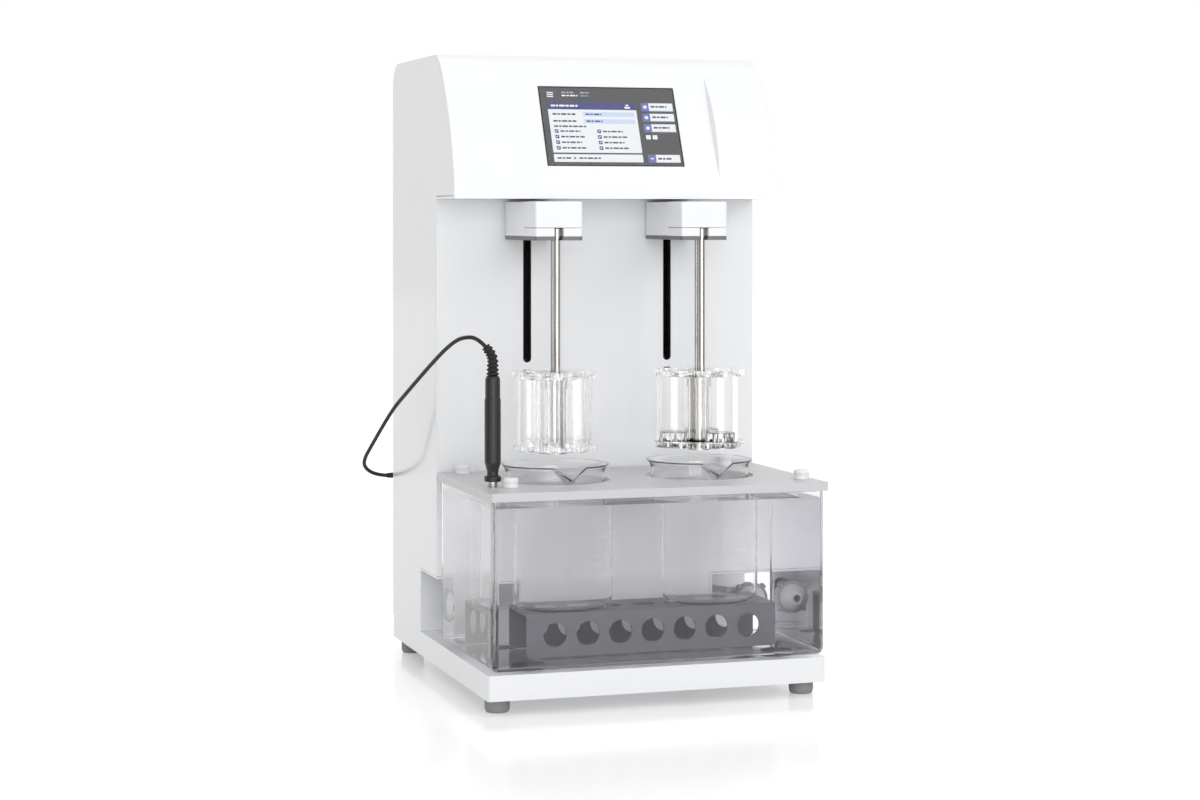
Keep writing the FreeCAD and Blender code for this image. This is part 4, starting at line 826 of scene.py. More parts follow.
class TESTER_OT_feet(Maker, bpy.types.Operator):
    """Makes the rubber feet under the base and the pads under the bath"""

    bl_idname = "tester.feet"
    bl_label = "Feet and pads"

    def make(self):
        foot, pad = rounded(FOOT_PROFILE, 0.0012), rounded(PAD_PROFILE, 0.0003)
        turned_copies("base_feet", foot, 48, "foot_rubber", "rows", FOOT_ROWS, "rubber_feet")
        turned_copies("bath_feet", pad, 48, "dark_rubber", "rows", PAD_ROWS, "bath_pads")


class FacetFrame:
    """Places on the head's flat facet: across, up and out, from the screen's middle."""

    def __init__(self):
        screen = setting("screen")
        low, high = Vector(screen.low), Vector(screen.high)
        self.up = (high - low).normalized()
        self.across = Vector((1, 0, 0))
        self.out = self.across.cross(self.up)
        self.middle = (low + high) / 2
        self.width, self.height = screen.width, screen.height

    def place(self, x, y, level):
        return self.middle + self.across * x + self.up * y + self.out * level

    def at(self, u, v, level=0.0):
        """A place by shares of the screen's width and height, from its top left."""
        return self.place((u - 0.5) * self.width, (0.5 - v) * self.height, level)

    def panel(self, u0, v0, u1, v1, corner, level):
        """Corners of a rounded rectangle given in shares, anticlockwise seen from the front."""
        cu, cv = corner / self.width, corner / self.height
        middles = ((u1 - cu, v0 + cv), (u0 + cu, v0 + cv), (u0 + cu, v1 - cv), (u1 - cu, v1 - cv))
        return [
            self.at(u + cu * c, v - cv * s, level)
            for i, (u, v) in enumerate(middles) for c, s in quarter(90 * i, 3)
        ]


INKS = ["back", "title", "sheet", "field", "tile", "ink", "cyan", "green", "grey"]
WORDS = (0.030, 0.018, 0.041, 0.024, 0.034)
WORD_GAP = 0.007
SHORTEST_WORD = 0.006
MENU_DEPTH = 0.0001  # how far the menu's first layer lies under the facet
LAYER = 0.00004
BEZEL_RIM = 0.0012
BEZEL_CORNER = 0.0005
BEZEL_SECTION = [  # way in from the outer edge, level
    (-0.005, -0.0045), (-0.005, -0.003), (0, -0.003), (0, 0.0005), (BEZEL_RIM, 0.0005), (BEZEL_RIM, -0.0018),
    (0.006, -0.0018), (0.006, -0.006), (-0.005, -0.006), (-0.005, -0.0045),
]


class TESTER_OT_screen(Maker, bpy.types.Operator):
    """Makes the black frame, the glass and the lit menu behind it"""

    bl_idname = "tester.screen"
    bl_label = "Touch screen"

    def slab(self, u0, v0, u1, v1, ink, level=1, corner=0.0006):
        """One patch of the menu, a hair above the one under it."""
        corners = self.face.panel(u0, v0, u1, v1, corner, LAYER * (level - 1) - MENU_DEPTH)
        plate(self.bm, corners, LAYER, INKS.index(ink))

    def line(self, u, v, share, height=0.016, ink="ink", level=2):
        """A run of short bars that stands for a line of lettering."""
        start, word = u, 0
        while start < u + share:
            end = min(start + WORDS[word % len(WORDS)], u + share)
            if end - start > SHORTEST_WORD:
                self.slab(start, v, end, v + height, ink, level, 0.0003)
            start, word = end + WORD_GAP, word + 1

    def bezel(self):
        """The black frame: one section run round the screen."""
        face = self.face
        bm = bmesh.new()
        rings = []
        for inset, level in rounded(BEZEL_SECTION, 0.00035)[:-1]:
            half_w = face.width / 2 + BEZEL_RIM - inset - BEZEL_CORNER
            half_h = face.height / 2 + BEZEL_RIM - inset - BEZEL_CORNER
            rings.append([
                bm.verts.new(face.place(sx * half_w + BEZEL_CORNER * c, sy * half_h + BEZEL_CORNER * s, level))
                for i, (sx, sy) in enumerate(((1, 1), (-1, 1), (-1, -1), (1, -1))) for c, s in quarter(90 * i, 3)
            ])
        for a, b in zip(rings, rings[1:] + rings[:1]):
            band(bm, a, b)
        finished(flattened(to_object("screen_bezel", outward(bm), ["dark_moulding"])), "screen_frame")

    def make(self):
        self.face = FacetFrame()
        self.bezel()
        self.bm = bmesh.new()
        plate(self.bm, [self.face.at(u, v, -0.0018) for u, v in ((0, 0), (0, 1), (1, 1), (1, 0))], 0.0017)
        self.header()
        self.sheet()
        self.buttons()
        finished(to_object("menu_glass", self.bm, ["menu_" + ink for ink in INKS], 20.0), "touch_screen")
        bm = bmesh.new()
        plate(bm, self.face.panel(-0.0005, -0.001, 1.0005, 1.001, 0.0006, 0.00012), 0.0003, 0, 0.002)
        glass = to_object("menu_cover_glass", bm, ["cover_glass"], 20.0)
        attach(glass, BODY["touch_screen"])

    def header(self):
        self.slab(0.0, 0.0, 1.0, 0.17, "back", 1, 0.0002)
        for i in range(3):
            self.slab(0.05, 0.06 + 0.026 * i, 0.098, 0.074 + 0.026 * i, "sheet", 2, 0.0003)
        self.line(0.16, 0.055, 0.09, 0.018, "grey")
        self.line(0.16, 0.095, 0.12, 0.018, "sheet")
        self.line(0.30, 0.055, 0.07, 0.018, "grey")
        self.line(0.30, 0.095, 0.06, 0.018, "cyan")

    def sheet(self):
        self.slab(0.045, 0.19, 0.705, 0.285, "title")
        self.line(0.07, 0.225, 0.2, 0.024, "sheet")
        self.slab(0.628, 0.212, 0.652, 0.236, "sheet", 2, 0.0016)
        self.slab(0.618, 0.242, 0.662, 0.266, "sheet", 2, 0.0010)
        self.slab(0.045, 0.285, 0.705, 0.845, "sheet")
        for v in (0.318, 0.408):
            self.slab(0.30, v, 0.685, v + 0.058, "field", 2)
            self.line(0.075, v + 0.018, 0.17, 0.022)
            self.line(0.32, v + 0.018, 0.12, 0.020, "title", 3)
        self.line(0.075, 0.495, 0.24, 0.02)
        for row in range(4):
            for u in (0.075, 0.39):
                v = 0.545 + 0.072 * row
                self.slab(u, v, u + 0.028, v + 0.046, "title", 2, 0.0005)
                self.slab(u + 0.006, v + 0.022, u + 0.013, v + 0.034, "sheet", 3, 0.0002)
                self.slab(u + 0.012, v + 0.012, u + 0.022, v + 0.022, "sheet", 3, 0.0002)
                self.line(u + 0.042, v + 0.013, 0.15 + 0.025 * (row % 2), 0.02)
        self.slab(0.045, 0.865, 0.705, 0.965, "sheet")
        self.slab(0.19, 0.90, 0.208, 0.93, "green", 2, 0.0012)
        self.line(0.07, 0.905, 0.10, 0.02)
        self.line(0.23, 0.905, 0.16, 0.02)

    def buttons(self):
        for i, under in enumerate(("field", "cyan", "grey")):
            v = 0.19 + 0.138 * i
            self.slab(0.745, v, 0.985, v + 0.105, "sheet")
            self.slab(0.745, v, 0.803, v + 0.105, "tile", 2)
            self.slab(0.762, v + 0.032, 0.787, v + 0.072, "sheet", 3, 0.0008)
            self.line(0.818, v + 0.035, 0.12, 0.022)
            self.slab(0.803, v + 0.096, 0.985, v + 0.105, under, 3, 0.0001)
        for u in (0.79, 0.84):
            self.slab(u - 0.04, 0.61, u - 0.004, 0.665, "sheet", 2)
        self.slab(0.745, 0.865, 0.985, 0.965, "sheet")
        self.slab(0.745, 0.865, 0.803, 0.965, "tile", 2)
        self.slab(0.762, 0.908, 0.787, 0.922, "sheet", 3, 0.0003)
        self.line(0.818, 0.905, 0.10, 0.022)


# number of tubes, radius of their ring, outer and inner radius of a tube, angle of the first one
TUBE_SETS = {"left": (6, 0.0285, 0.0123, 0.0110, 0.0), "right": (3, 0.029, 0.0187, 0.0165, math.pi / 3)}
# radius, height and depth of the flutes
DISC_SETS = {"left": (0.01035, 0.0095, 0.0013), "right": (0.0157, 0.0153, 0.0018)}
FLUTES, STEPS_PER_FLUTE, FLUTE_SHARE = 8, 10, 0.55
DISC_EDGE = 0.0007
DIMPLE_RADIUS, DIMPLE_DEPTH = 0.55, 0.0012  # the radius as a share of the disc's


def fluted_disc(radius, height, flute):
    """A short rounded cylinder with shallow grooves down its side and a dimple at its centre."""
    bm = bmesh.new()
    steps = FLUTES * STEPS_PER_FLUTE
    rings = []
    levels = (
        (DIMPLE_RADIUS, 0.0, 0.0), (1.0, DISC_EDGE, 0.0), (1.0, 0.0, DISC_EDGE),
        (1.0, 0.0, height - DISC_EDGE), (1.0, DISC_EDGE, height), (DIMPLE_RADIUS, 0.0, height),
    )
    for share, inset, z in levels:
        ring = []
        for i in range(steps):
            turn = (i % STEPS_PER_FLUTE) / STEPS_PER_FLUTE * 2 - 1
            dip = flute * max(0.0, 1 - (turn / FLUTE_SHARE) ** 2) ** 0.5 if share == 1.0 else 0.0
            reach = radius * share - inset - dip
            angle = 2 * math.pi * i / steps
            ring.append(bm.verts.new((reach * math.cos(angle), reach * math.sin(angle), z)))
        rings.append(ring)
    for low, high in zip(rings, rings[1:]):
        band(bm, low, high)
    for ring, z in ((rings[0], DIMPLE_DEPTH), (rings[-1], height - DIMPLE_DEPTH)):
        band(bm, ring, [bm.verts.new((0, 0, z))])
    return outward(bm)


class TESTER_OT_baskets(Maker, bpy.types.Operator):
    """Makes both baskets: rods, hubs, plates, tubes, woven mesh and discs"""

    bl_idname = "tester.baskets"
    bl_label = "Baskets"

    def make(self):
        baskets = setting("baskets")
        high = baskets.tube_length
        for side, sign in SIDES.items():
            number, ring, outer, inner, first = TUBE_SETS[side]
            spot = (sign * baskets.offset, baskets.setback)
            softened("basket_hanger_" + side, "hanger_" + side, "polished_steel", 0.0004)
            softened("upper_plate_" + side, "top_disc_" + side, "bath_acrylic", 0.0005)
            softened("lower_plate_" + side, "base_disc_" + side, "bath_acrylic", 0.0005)
            tube = [(inner, high / 2), (inner, 0), (outer, 0), (outer, high), (inner, high), (inner, high / 2)]
            ways = {"Count": number, "Ring Radius": ring, "First Angle": first, "Centre": (*spot, baskets.tube_bottom)}
            turned_copies(
                "tubes_" + side, rounded(tube, 0.0006, 2), 64, "lab_glass", "ring", ways, "basket_tubes_" + side
            )
            disc = to_object("disc", fluted_disc(*DISC_SETS[side]), ["bath_acrylic"])
            ways["Centre"] = (*spot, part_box("fluted_disks_" + side)[0].z)
            finished(run_tree(disc, "ring", "discs_" + side, "bath_acrylic", ways), "fluted_disks_" + side)
            ways["Centre"] = (*spot, baskets.tube_bottom - 0.0008)
            self.mesh(side, outer, ways)

    def mesh(self, side, outer, ways):
        """Woven wire under each tube, in a thin steel rim."""
        baskets = setting("baskets")
        pitch = baskets.wire_pitch
        reach = outer - 0.0006
        points = int(2 * reach / (pitch / 2)) + 1
        line = [(-reach + 2 * reach * i / (points - 1), 0, 0) for i in range(points)]
        wires = {"Pitch": pitch, "Wire Radius": baskets.wire_radius, "Wires": 2 * int(reach / pitch) + 1}
        disc = run_tree(curve_object("wire", line), "weave", "weave", "wire_steel", {**wires, "Mesh Radius": reach})
        bm = bmesh.new()
        rim, inner = 0.0005, outer - 0.0013
        lathe(bm, [(inner, 0), (inner, -rim), (outer, -rim), (outer, rim), (inner, rim), (inner, 0)], steps=40)
        unit = joined("unit", [disc, to_object("hoop", outward(bm), ["wire_steel"])])
        finished(run_tree(unit, "ring", "woven_mesh_" + side, "wire_steel", ways), "sieve_disc_" + side)


def level_profile(points, level):
    """Adds a point where a profile crosses a level, so that a band of faces ends there."""
    made = [points[0]]
    for a, b in zip(points, points[1:]):
        if (a[1] - level) * (b[1] - level) < 0:
            share = (level - a[1]) / (b[1] - a[1])
            made.append((a[0] + (b[0] - a[0]) * share, level))
        made.append(b)
    return made


BEAKER_FOOT_RADIUS = 0.012
RIM_FLARE, RIM_NECK = 0.0045, 0.009
PRINT_HEADINGS = {"left": 59, "right": 42}  # degrees from the camera's side
PRINT_GAP = 0.00012
TICK_FOOT, TICK_STEP, TICK_LINE = 0.038, 0.0095, 0.0006
LONG_TICK, SHORT_TICK = 0.012, 0.007
NUMBER_SIZE = 0.0062


class TESTER_OT_beakers(Maker, bpy.types.Operator):
    """Makes the two glass beakers, with their spouts and printed scales"""

    bl_idname = "tester.beakers"
    bl_label = "Beakers"

    def wall(self, inset):
        """The outline from the middle of the foot out and up to the rim, at one face of the wall."""
        bath = setting("bath")
        r, top, foot = bath.beaker_radius - inset, bath.beaker_height, BEAKER_FOOT_RADIUS - inset
        points = [(0.0, inset), ((r - foot) * 0.6, inset), (r - foot - 0.0005, inset)]
        points += [(r - foot + foot * s, inset + foot * (1 - c)) for c, s in quarter(0, 10)]
        low, high = inset + foot + 0.0006, top - bath.spout_height
        points += [(r, low + (high - low) * i / 6) for i in range(7)]
        for i in range(1, 15):
            z = high + bath.spout_height * i / 14
            share = max(0.0, (z - top + RIM_NECK) / RIM_NECK)
            points.append((r + RIM_FLARE * share**2, z))
        return points

    def spout(self, bm, bath):
        """Pulls the top of the wall out into a trough whose rim falls to a tip at the front."""
        tall, half, softness = bath.spout_height, bath.spout_width / 2, 0.0011
        for vert in bm.verts:
            rise = (vert.co.z - bath.beaker_height + tall) / tall
            if rise <= 0 or vert.co.y > 0:
                continue
            rise = min(rise, 1.0)
            across = math.hypot(vert.co.x, softness) - softness
            inside = max(0.0, 1 - across / (half * rise))
            inside *= 1 - 0.35 * (1 - inside) ** 2
            vert.co.y -= (bath.spout_reach - 0.0045 * rise**4) * inside * rise
            vert.co.z -= bath.spout_drop * inside * rise**2

    def make(self):
        bath, baskets = setting("bath"), setting("baskets")
        level = bath.level - bath.beaker_foot
        outer, inner = (level_profile(self.wall(inset), level) for inset in (0.0, bath.beaker_wall))
        rim, top = bath.beaker_radius + RIM_FLARE, bath.beaker_height
        lip = [(rim + 0.0003, top), (rim - 0.0008, top + 0.0007), (rim - bath.beaker_wall, top + 0.0002)]
        profile = outer[:-1] + lip + list(reversed(inner[:-1]))
        for side, sign in SIDES.items():
            bm = bmesh.new()
            lathe(bm, profile, steps=240)
            self.spout(bm, bath)
            for face in bm.faces:
                face.material_index = 1 if face.calc_center_median().z < level else 0
            outward(bm)
            centre = Vector((sign * baskets.offset, baskets.setback, bath.beaker_foot))
            bmesh.ops.translate(bm, verts=bm.verts, vec=centre)
            finished(to_object("beaker_glass_" + side, bm, ["lab_glass", "glass_in_water"], 50), "beaker_" + side)
            self.scale(side, centre)

    def scale(self, side, centre):
        """White ticks and plain numbers printed on the wall."""
        radius = setting("bath").beaker_radius + PRINT_GAP
        heading = math.radians(VIEW_HEADING + PRINT_HEADINGS[side])

        def on_wall(along, z):
            angle = heading + along / radius
            return centre + Vector((radius * math.cos(angle), radius * math.sin(angle), z))

        bm = bmesh.new()
        for i in range(9):
            z = TICK_FOOT + TICK_STEP * i
            reach = LONG_TICK if i % 2 == 0 else SHORT_TICK
            steps = [-LONG_TICK + reach * j / 6 for j in range(7)]
            rows = [[bm.verts.new(on_wall(s, height)) for height in (z, z + TICK_LINE)] for s in steps]
            for a, b in zip(rows, rows[1:]):
                bm.faces.new((a[0], b[0], b[1], a[1]))
        pieces = [to_object("beaker_ticks_" + side, bm, ["white_print"])]
        for i in range(5):
            data = bpy.data.curves.new("number", "FONT")
            data.body = str(200 * (i + 1))
            data.size = NUMBER_SIZE
            number = evaluated(put("number", data), "number")
            for v in number.data.vertices:
                v.co = on_wall(v.co.x + 0.001, TICK_FOOT - 0.002 + 2 * TICK_STEP * i + v.co.y)
            number.data.materials.append(mat("white_print"))
            pieces.append(number)
        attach(joined("beaker_scale_" + side, pieces), BODY["beaker_" + side])


RACK_WALL = 0.003
RACK_BLOCK = 0.0155  # side of the blocks that fill its lower corners
RACK_CORNER = 0.0045
THREAD_HOLE_X, THREAD_HOLE_Z = 0.1537, 0.083
SQUARE = 0.0002  # radius of a corner that looks square
TANK_EDGE = 0.0005
WATER_GAP = 0.0001
KNOB_PLACES = ((-0.147, -0.1595), (0.168, -0.1745), (-0.159, -0.0145), (0.142, -0.0145))
KNOB_PROFILE = ((0, 1), (0.0072, 1), (0.0085, 0.72), (0.0078, 0.38), (0.0084, 0.12), (0.0084, 0), (0, 0))
HOSE_LINE = [
    (0.1537, 0.0049), (0.1537, 0.0125), (0.1537, 0.0245), (0.149, 0.034), (0.1365, 0.0435), (0.132, 0.053),
    (0.132, 0.065), (0.132, 0.0726),
]
HOSE_RIBS = {
    "Core Radius": 0.0063, "Rib Height": 0.0012, "Rib Pitch": 0.0032, "Rib Sharpness": 0.8, "Step": 0.0004, "Sides": 32,
}


def cut_or_fuse(obj, label, operation, tools):
    """Adds exact Boolean modifiers for tools to an object."""
    for tool in tools:
        boolean = obj.modifiers.new(label, "BOOLEAN")
        boolean.operation, boolean.solver, boolean.object = operation, "EXACT", tool


class TESTER_OT_bath(Maker, bpy.types.Operator):
    """Makes the clear bath, its water, cover, knobs, rack, couplings and hoses"""

    bl_idname = "tester.bath"
    bl_label = "Water bath"

    def make(self):
        bath = setting("bath")
        softened("bath_cover", "bath_lid", "cover_grey", 0.0007)
        self.rack()
        softened("bath_couplings", "hose_nozzles", "nozzle_grey", 0.0004)
        softened("coupling_nuts", "eared_nuts", "coupling_grey", 0.0007)
        self.walls(bath)
        self.water(bath)
        self.knobs()
        self.hoses()

    def rack(self):
        """The perforated rack, with the lower corners of its front and back walls filled out square."""
        low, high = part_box("beaker_rack")
        rack = put("perforated_rack", NODES["beaker_rack"].data.copy())
        blocks = []
        for x in (low.x, high.x - RACK_BLOCK):
            for y in (low.y, high.y - RACK_WALL):
                bm = bmesh.new()
                bmesh.ops.create_cube(bm, size=1.0)
                for v in bm.verts:
                    share = v.co + Vector((0.5, 0.5, 0.5))
                    v.co = (x + RACK_BLOCK * share.x, y + RACK_WALL * share.y, low.z + RACK_BLOCK * share.z)
                ends_x = (low.x, high.x)
                lower = [e for e in bm.edges if all(v.co.z < low.z + RACK_BLOCK / 2 for v in e.verts)]
                outer = [e for e in lower if all(min(abs(v.co.x - end) for end in ends_x) < 1e-4 for v in e.verts)]
                bmesh.ops.bevel(bm, geom=outer, offset=RACK_CORNER, segments=6, profile=0.5, affect="EDGES")
                blocks.append(to_object("corner_block", bm, ["rack_grey"]))
        cut_or_fuse(rack, "Corner", "UNION", blocks)
        rack = evaluated(rack, "perforated_rack")
        for block in blocks:
            bpy.data.objects.remove(block)
        softened("beaker_rack", "perforated_rack", "rack_grey", 0.0006, source=rack)

    def outline(self, inset, front_inset, front_radius, back_radius):
        """Corners of the bath's plan, moved in and rounded, anticlockwise from above."""
        low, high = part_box("bath_tank")
        x0, x1, y0, y1 = low.x + inset, high.x - inset, low.y + front_inset, high.y - inset
        places = []
        for x, y, radius, start in (
            (x0, y0, front_radius, 180), (x1, y0, front_radius, 270),
            (x1, y1, back_radius, 0), (x0, y1, back_radius, 90),
        ):
            cx = x + radius * (1 if x < 0 else -1)
            cy = y + radius * (1 if y == y0 else -1)
            places += [(cx + radius * c, cy + radius * s) for c, s in quarter(start, 8)]
        return places

    def stacked(self, loops):
        """A skin through loops of (outline, height, finish of the band above), closed at both ends."""
        bm = bmesh.new()
        rings = [[bm.verts.new((x, y, z)) for x, y in places] for places, z, matter in loops]
        for low, high, loop in zip(rings, rings[1:], loops):
            band(bm, low, high, loop[2])
        bm.faces.new(list(reversed(rings[0]))).material_index = loops[0][2]
        bm.faces.new(rings[-1]).material_index = loops[-1][2]
        bmesh.ops.remove_doubles(bm, verts=bm.verts, dist=2e-6)
        return outward(bm)

    def inner_loops(self, bath, gap, matter):
        """Loops from the bath's inner floor up to the water's level, kept gap away from the wall."""
        wall, radius = bath.wall + gap, bath.inner_radius
        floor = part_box("bath_tank")[0].z + wall
        loops = []
        for c, s in quarter(0, 6):
            inset = radius * (1 - s)
            plan = self.outline(wall + inset, wall, SQUARE, max(radius - inset, SQUARE))
            loops.append((plan, floor + radius * (1 - c), matter))
        loops.append((plan, bath.level, matter))
        return loops

    def walls(self, bath):
        """The clear tank: its inner faces under the water's level have a finish of their own."""
        low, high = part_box("bath_tank")
        outer = bath.outer_radius
        loops = []
        for c, s in quarter(0, 8):
            inset = outer * (1 - s)
            radius = max(outer - inset, 0.00001)
            loops.append((self.outline(inset, inset, radius, radius), low.z + outer * (1 - c), 0))
        loops.append((self.outline(0, 0, outer, outer), high.z - TANK_EDGE, 0))
        loops.append((self.outline(TANK_EDGE, TANK_EDGE, outer - TANK_EDGE, outer - TANK_EDGE), high.z, 0))
        inner = self.inner_loops(bath, 0.0, 1)
        rim = bath.wall - TANK_EDGE
        loops.append((self.outline(rim, rim, SQUARE, bath.inner_radius), high.z, 0))
        loops.append((inner[-1][0], high.z - TANK_EDGE, 0))
        loops += reversed(inner)
        tank = to_object("bath_walls", self.stacked(loops), ["bath_acrylic", "acrylic_in_water"], 30)
        cutters = []
        for sign in SIDES.values():
            bm = bmesh.new()
            middle = Matrix.Translation((sign * THREAD_HOLE_X, high.y - bath.wall / 2, THREAD_HOLE_Z))
            bmesh.ops.create_cone(
                bm, cap_ends=True, segments=48, radius1=bath.thread_hole, radius2=bath.thread_hole,
                depth=3 * bath.wall, matrix=middle @ Matrix.Rotation(math.pi / 2, 4, "X"),
            )
            cutters.append(to_object("thread_hole", bm, ["bath_acrylic"]))
        cut_or_fuse(tank, "Thread hole", "DIFFERENCE", cutters)
        tank = flattened(tank)
        for cutter in cutters:
            bpy.data.objects.remove(cutter)
        finished(tank, "bath_tank")

    def water(self, bath):
        """One body of water from wall to wall, a hair inside the acrylic; only its top bends light."""
        bm = self.stacked(self.inner_loops(bath, WATER_GAP, 0))
        for face in bm.faces:
            face.material_index = 1 if face.calc_center_median().z > bath.level - 0.00001 else 0
        # Its sides and floor carry the water tint, with its painted shade.
        made = flattened(to_object("bath_water_body", bm, ["water_tint_and_shade", "bath_water"], 30))
        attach(made, BODY["bath_tank"])

    def knobs(self):
        """Four milky knobs screwed to the cover, each with a rounded top and a waist."""
        low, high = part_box("cover_knobs")
        profile = rounded([(radius, (high.z - low.z) * share) for radius, share in KNOB_PROFILE], 0.0016, 4)
        bm = bmesh.new()
        for x, y in KNOB_PLACES:
            lathe(bm, profile, (x, y, low.z), 48)
        finished(to_object("lid_knobs", outward(bm), ["milky_knob"]), "cover_knobs")

    def hoses(self):
        """Two ribbed hoses behind the bath."""
        made = []
        for sign in SIDES.values():
            route = curve_object("hose_line", [(sign * x, y, THREAD_HOLE_Z) for x, y in HOSE_LINE], "NURBS")
            made.append(run_tree(route, "ribs", "hose", "hose_grey", HOSE_RIBS, 60))
        finished(joined("ribbed_hoses", made), "bath_hoses")


HANDLE_TOP = 0.108
HANDLE_PROFILE = [
    (0, 0), (0.0087, 0), (0.0087, 0.0055), (0.0058, 0.0060), (0.0058, 0.0105), (0.0084, 0.0195), (0.0084, 0.0840),
    (0.0079, 0.0846), (0.0079, 0.0854), (0.0077, 0.0860), (0.0077, 0.1045), (0.0064, HANDLE_TOP), (0, HANDLE_TOP),
]
BOOT_RIBS = {
    "Core Radius": 0.0046, "Rib Height": 0.0020, "Rib Pitch": 0.0043, "Rib Sharpness": 0.7, "Taper": 0.22,
    "Step": 0.0003, "Sides": 40,
}


class TESTER_OT_probe(Maker, bpy.types.Operator):
    """Makes the temperature probe: needle, handle and ribbed boot"""

    bl_idname = "tester.probe"
    bl_label = "Probe"

    def make(self):
        x, y, z = setting("probe").axis
        bm = bmesh.new()
        lathe(bm, rounded(HANDLE_PROFILE, 0.0009), (x, y, z), 72)
        finished(to_object("probe_grip", outward(bm), ["dark_moulding"]), "probe_handle")
        softened("probe_needle", "probe_pin", "polished_steel", 0.0002)
        softened("probe_plug", "probe_angle_plug", "dark_rubber", 0.0005)
        top = z + HANDLE_TOP
        line = [(x, y, top), (x, y, top + 0.008), (x, y, top + 0.022), CORD_ROUTE[0]]
        route = curve_object("boot_line", line, "NURBS")
        finished(run_tree(route, "ribs", "strain_boot", "dark_rubber", BOOT_RIBS, 60), "probe_boot")


KEPT_FINISHES = {
    "display_module": "motor_black",
    "control_board": "board_green",
    "power_supply": "inside_metal",
    "power_inlet": "dark_moulding",
    "switch_frame": "dark_moulding",
    "power_switch": "dark_moulding",
    "probe_socket": "turned_steel",
    "drive_frame": "inside_metal",
    "guide_rods": "polished_steel",
    "lift_motors": "motor_black",
    "circulation_pump": "motor_black",
    "lift_carriage_left": "turned_steel",
    "lift_carriage_right": "turned_steel",
    "lead_screw_left": "turned_steel",
    "lead_screw_right": "turned_steel",
}


class TESTER_OT_inside(Maker, bpy.types.Operator):
    """Finishes the frames, motors and modules behind the covers"""

    bl_idname = "tester.inside"
    bl_label = "Inside pieces"

    def make(self):
        for node, finish in KEPT_FINISHES.items():
            for slot in NODES[node].material_slots:
                slot.material = mat(finish)


def seen_directly(tree):
    """1 for camera, glossy and transmission rays, and 0 for the others."""
    path = add(tree, "ShaderNodeLightPath").outputs
    seen = calc(tree, "MAXIMUM", path["Is Camera Ray"], path["Is Glossy Ray"])
    return calc(tree, "MAXIMUM", seen, path["Is Transmission Ray"])


def stage_paint(name, tint, roughness):
    """A plain material for the surroundings, with its tree and shader."""
    paint = bpy.data.materials.new(name)
    paint.use_nodes = True
    bsdf = paint.node_tree.nodes["Principled BSDF"]
    bsdf.inputs["Base Color"].default_value = (tint, tint, tint, 1)
    bsdf.inputs["Roughness"].default_value = roughness
    return paint, paint.node_tree, bsdf


def stage_sheet(name, corners, paint):
    """A flat sheet of the surroundings."""
    mesh = bpy.data.meshes.new(name)
    mesh.from_pydata(corners, [], [(0, 1, 2, 3)])
    mesh.materials.append(paint)
    sheet = put(name, mesh)
    return sheet


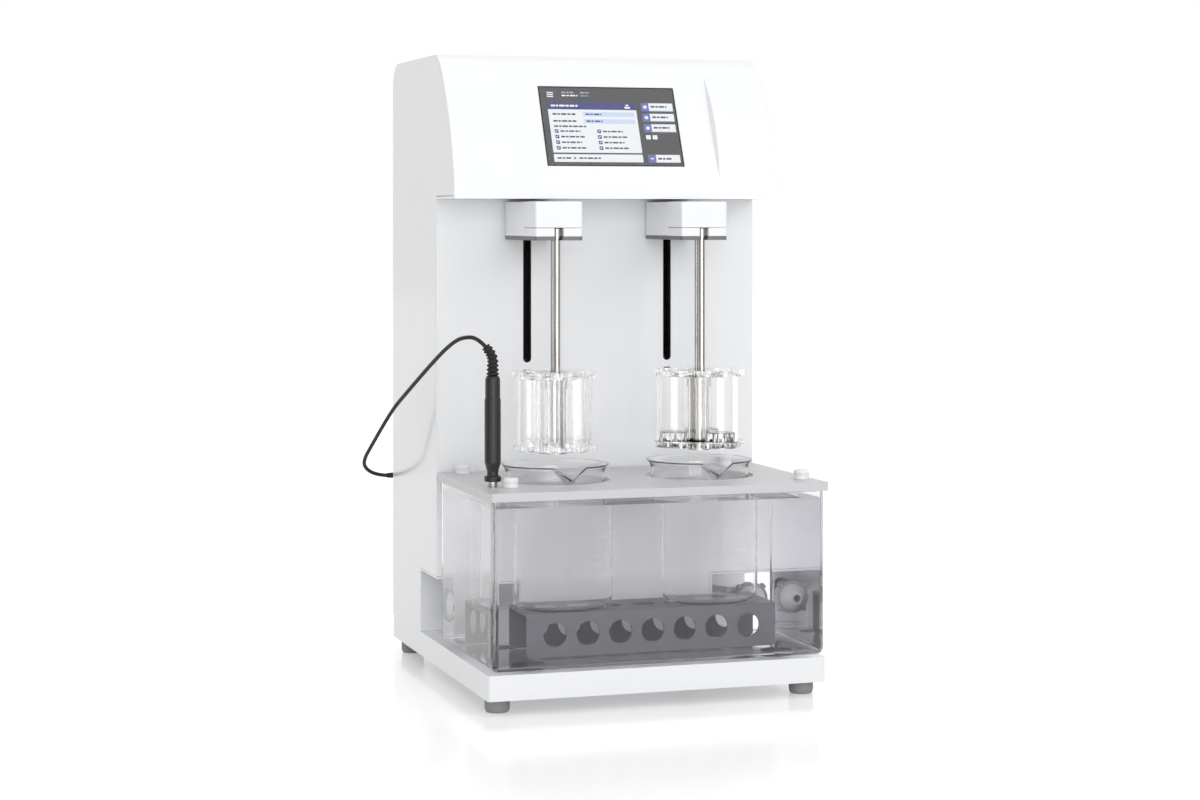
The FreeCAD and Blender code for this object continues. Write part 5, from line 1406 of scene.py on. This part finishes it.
class TESTER_OT_stage(Maker, bpy.types.Operator):
    """Sets the floor, the even light and the lamps"""

    bl_idname = "tester.stage"
    bl_label = "Floor and light"

    def make(self):
        self.floor()
        self.world()
        studio = setting("studio")
        self.lamp("key", (1.6, -2.2, 1.9), studio.key, 1.5)
        self.lamp("front", (-0.4, -3.0, 0.75), studio.front, 1.6)
        self.lamp("top", (0.1, 0.1, 2.6), studio.top, 1.8)
        self.cards()
        scene = bpy.context.scene
        scene.view_settings.view_transform = "Standard"
        paths = scene.cycles
        paths.max_bounces = paths.transmission_bounces = paths.transparent_max_bounces = 28
        paths.glossy_bounces = 20

    def lamp(self, name, where, power, size):
        """A square lamp that shines on the tester's middle."""
        data = bpy.data.lights.new(name, "AREA")
        data.energy = power
        data.size = size
        lamp = put(name, data)
        lamp.location = where
        lamp.rotation_euler = (Vector((0, 0, 0.3)) - Vector(where)).to_track_quat("-Z", "Y").to_euler()

    def cards(self):
        """Dark cards beside the object that only shine in metal and glass, to draw their edges."""
        dark = stage_paint("card_black", 0.015, 1.0)[0]
        away, half_width, foot, height = 1.5, 0.38, 0.02, 1.5
        for name, heading in (("card_left", 62.0), ("card_right", -75.0)):
            angle = math.radians(VIEW_HEADING - heading)
            side = Vector((math.cos(angle), math.sin(angle), 0))
            along = Vector((-side.y, side.x, 0)) * half_width
            low = side * away + Vector((0, 0, foot))
            high = low + Vector((0, 0, height))
            card = stage_sheet(name, [low - along, low + along, high + along, high - along], dark)
            for ray in ("camera", "diffuse", "shadow", "transmission"):
                setattr(card, "visible_" + ray, False)

    def floor(self):
        paper, tree, bsdf = stage_paint("floor_white", 0.80, 0.16)
        bsdf.inputs["Emission Color"].default_value = (1, 1, 1, 1)
        tree.links.new(calc(tree, "MULTIPLY", seen_directly(tree), 0.30), bsdf.inputs["Emission Strength"])
        reach = 12.0
        stage_sheet("floor", [(-reach, -reach, 0), (reach, -reach, 0), (reach, reach, 0), (-reach, reach, 0)], paper)

    def world(self):
        world = bpy.data.worlds.new("studio_light")
        bpy.context.scene.world = world
        world.use_nodes = True
        tree = world.node_tree
        back = tree.nodes["Background"]
        back.inputs["Color"].default_value = (1, 1, 1, 1)
        sky = setting("studio").sky
        tree.links.new(calc(tree, "MULTIPLY_ADD", seen_directly(tree), 1.0 - sky, sky), back.inputs["Strength"])


OPERATORS = [
    TESTER_OT_materials, TESTER_OT_camera, TESTER_OT_cord, TESTER_OT_housing, TESTER_OT_feet, TESTER_OT_screen,
    TESTER_OT_baskets, TESTER_OT_beakers, TESTER_OT_bath, TESTER_OT_probe, TESTER_OT_inside, TESTER_OT_stage,
]


class TESTER_PT_panel(bpy.types.Panel):
    """Lists the makers of the tester's pieces, with their sizes and colours"""

    bl_idname = "TESTER_PT_panel"
    bl_label = "Disintegration tester"
    bl_space_type = "VIEW_3D"
    bl_region_type = "UI"
    bl_category = "Tester"

    def draw(self, context):
        for maker in OPERATORS:
            self.layout.operator(maker.bl_idname)
        for name, group_type in SETTINGS.items():
            box = self.layout.box()
            box.label(text=name.replace("_", " ").capitalize())
            for key in group_type.__annotations__:
                box.prop(getattr(context.scene, name), key)


def register():
    for group_type in SETTINGS.values():
        bpy.utils.register_class(group_type)
    for maker in OPERATORS:
        bpy.utils.register_class(maker)
    bpy.utils.register_class(TESTER_PT_panel)
    for name, group_type in SETTINGS.items():
        setattr(bpy.types.Scene, name, bpy.props.PointerProperty(type=group_type))


def unregister():
    for name in SETTINGS:
        delattr(bpy.types.Scene, name)
    bpy.utils.unregister_class(TESTER_PT_panel)
    for kind in reversed(OPERATORS + list(SETTINGS.values())):
        bpy.utils.unregister_class(kind)


def main():
    register()
    for maker in OPERATORS:
        section, name = maker.bl_idname.split(".")
        getattr(getattr(bpy.ops, section), name)()


if __name__ == "__main__":
    main()
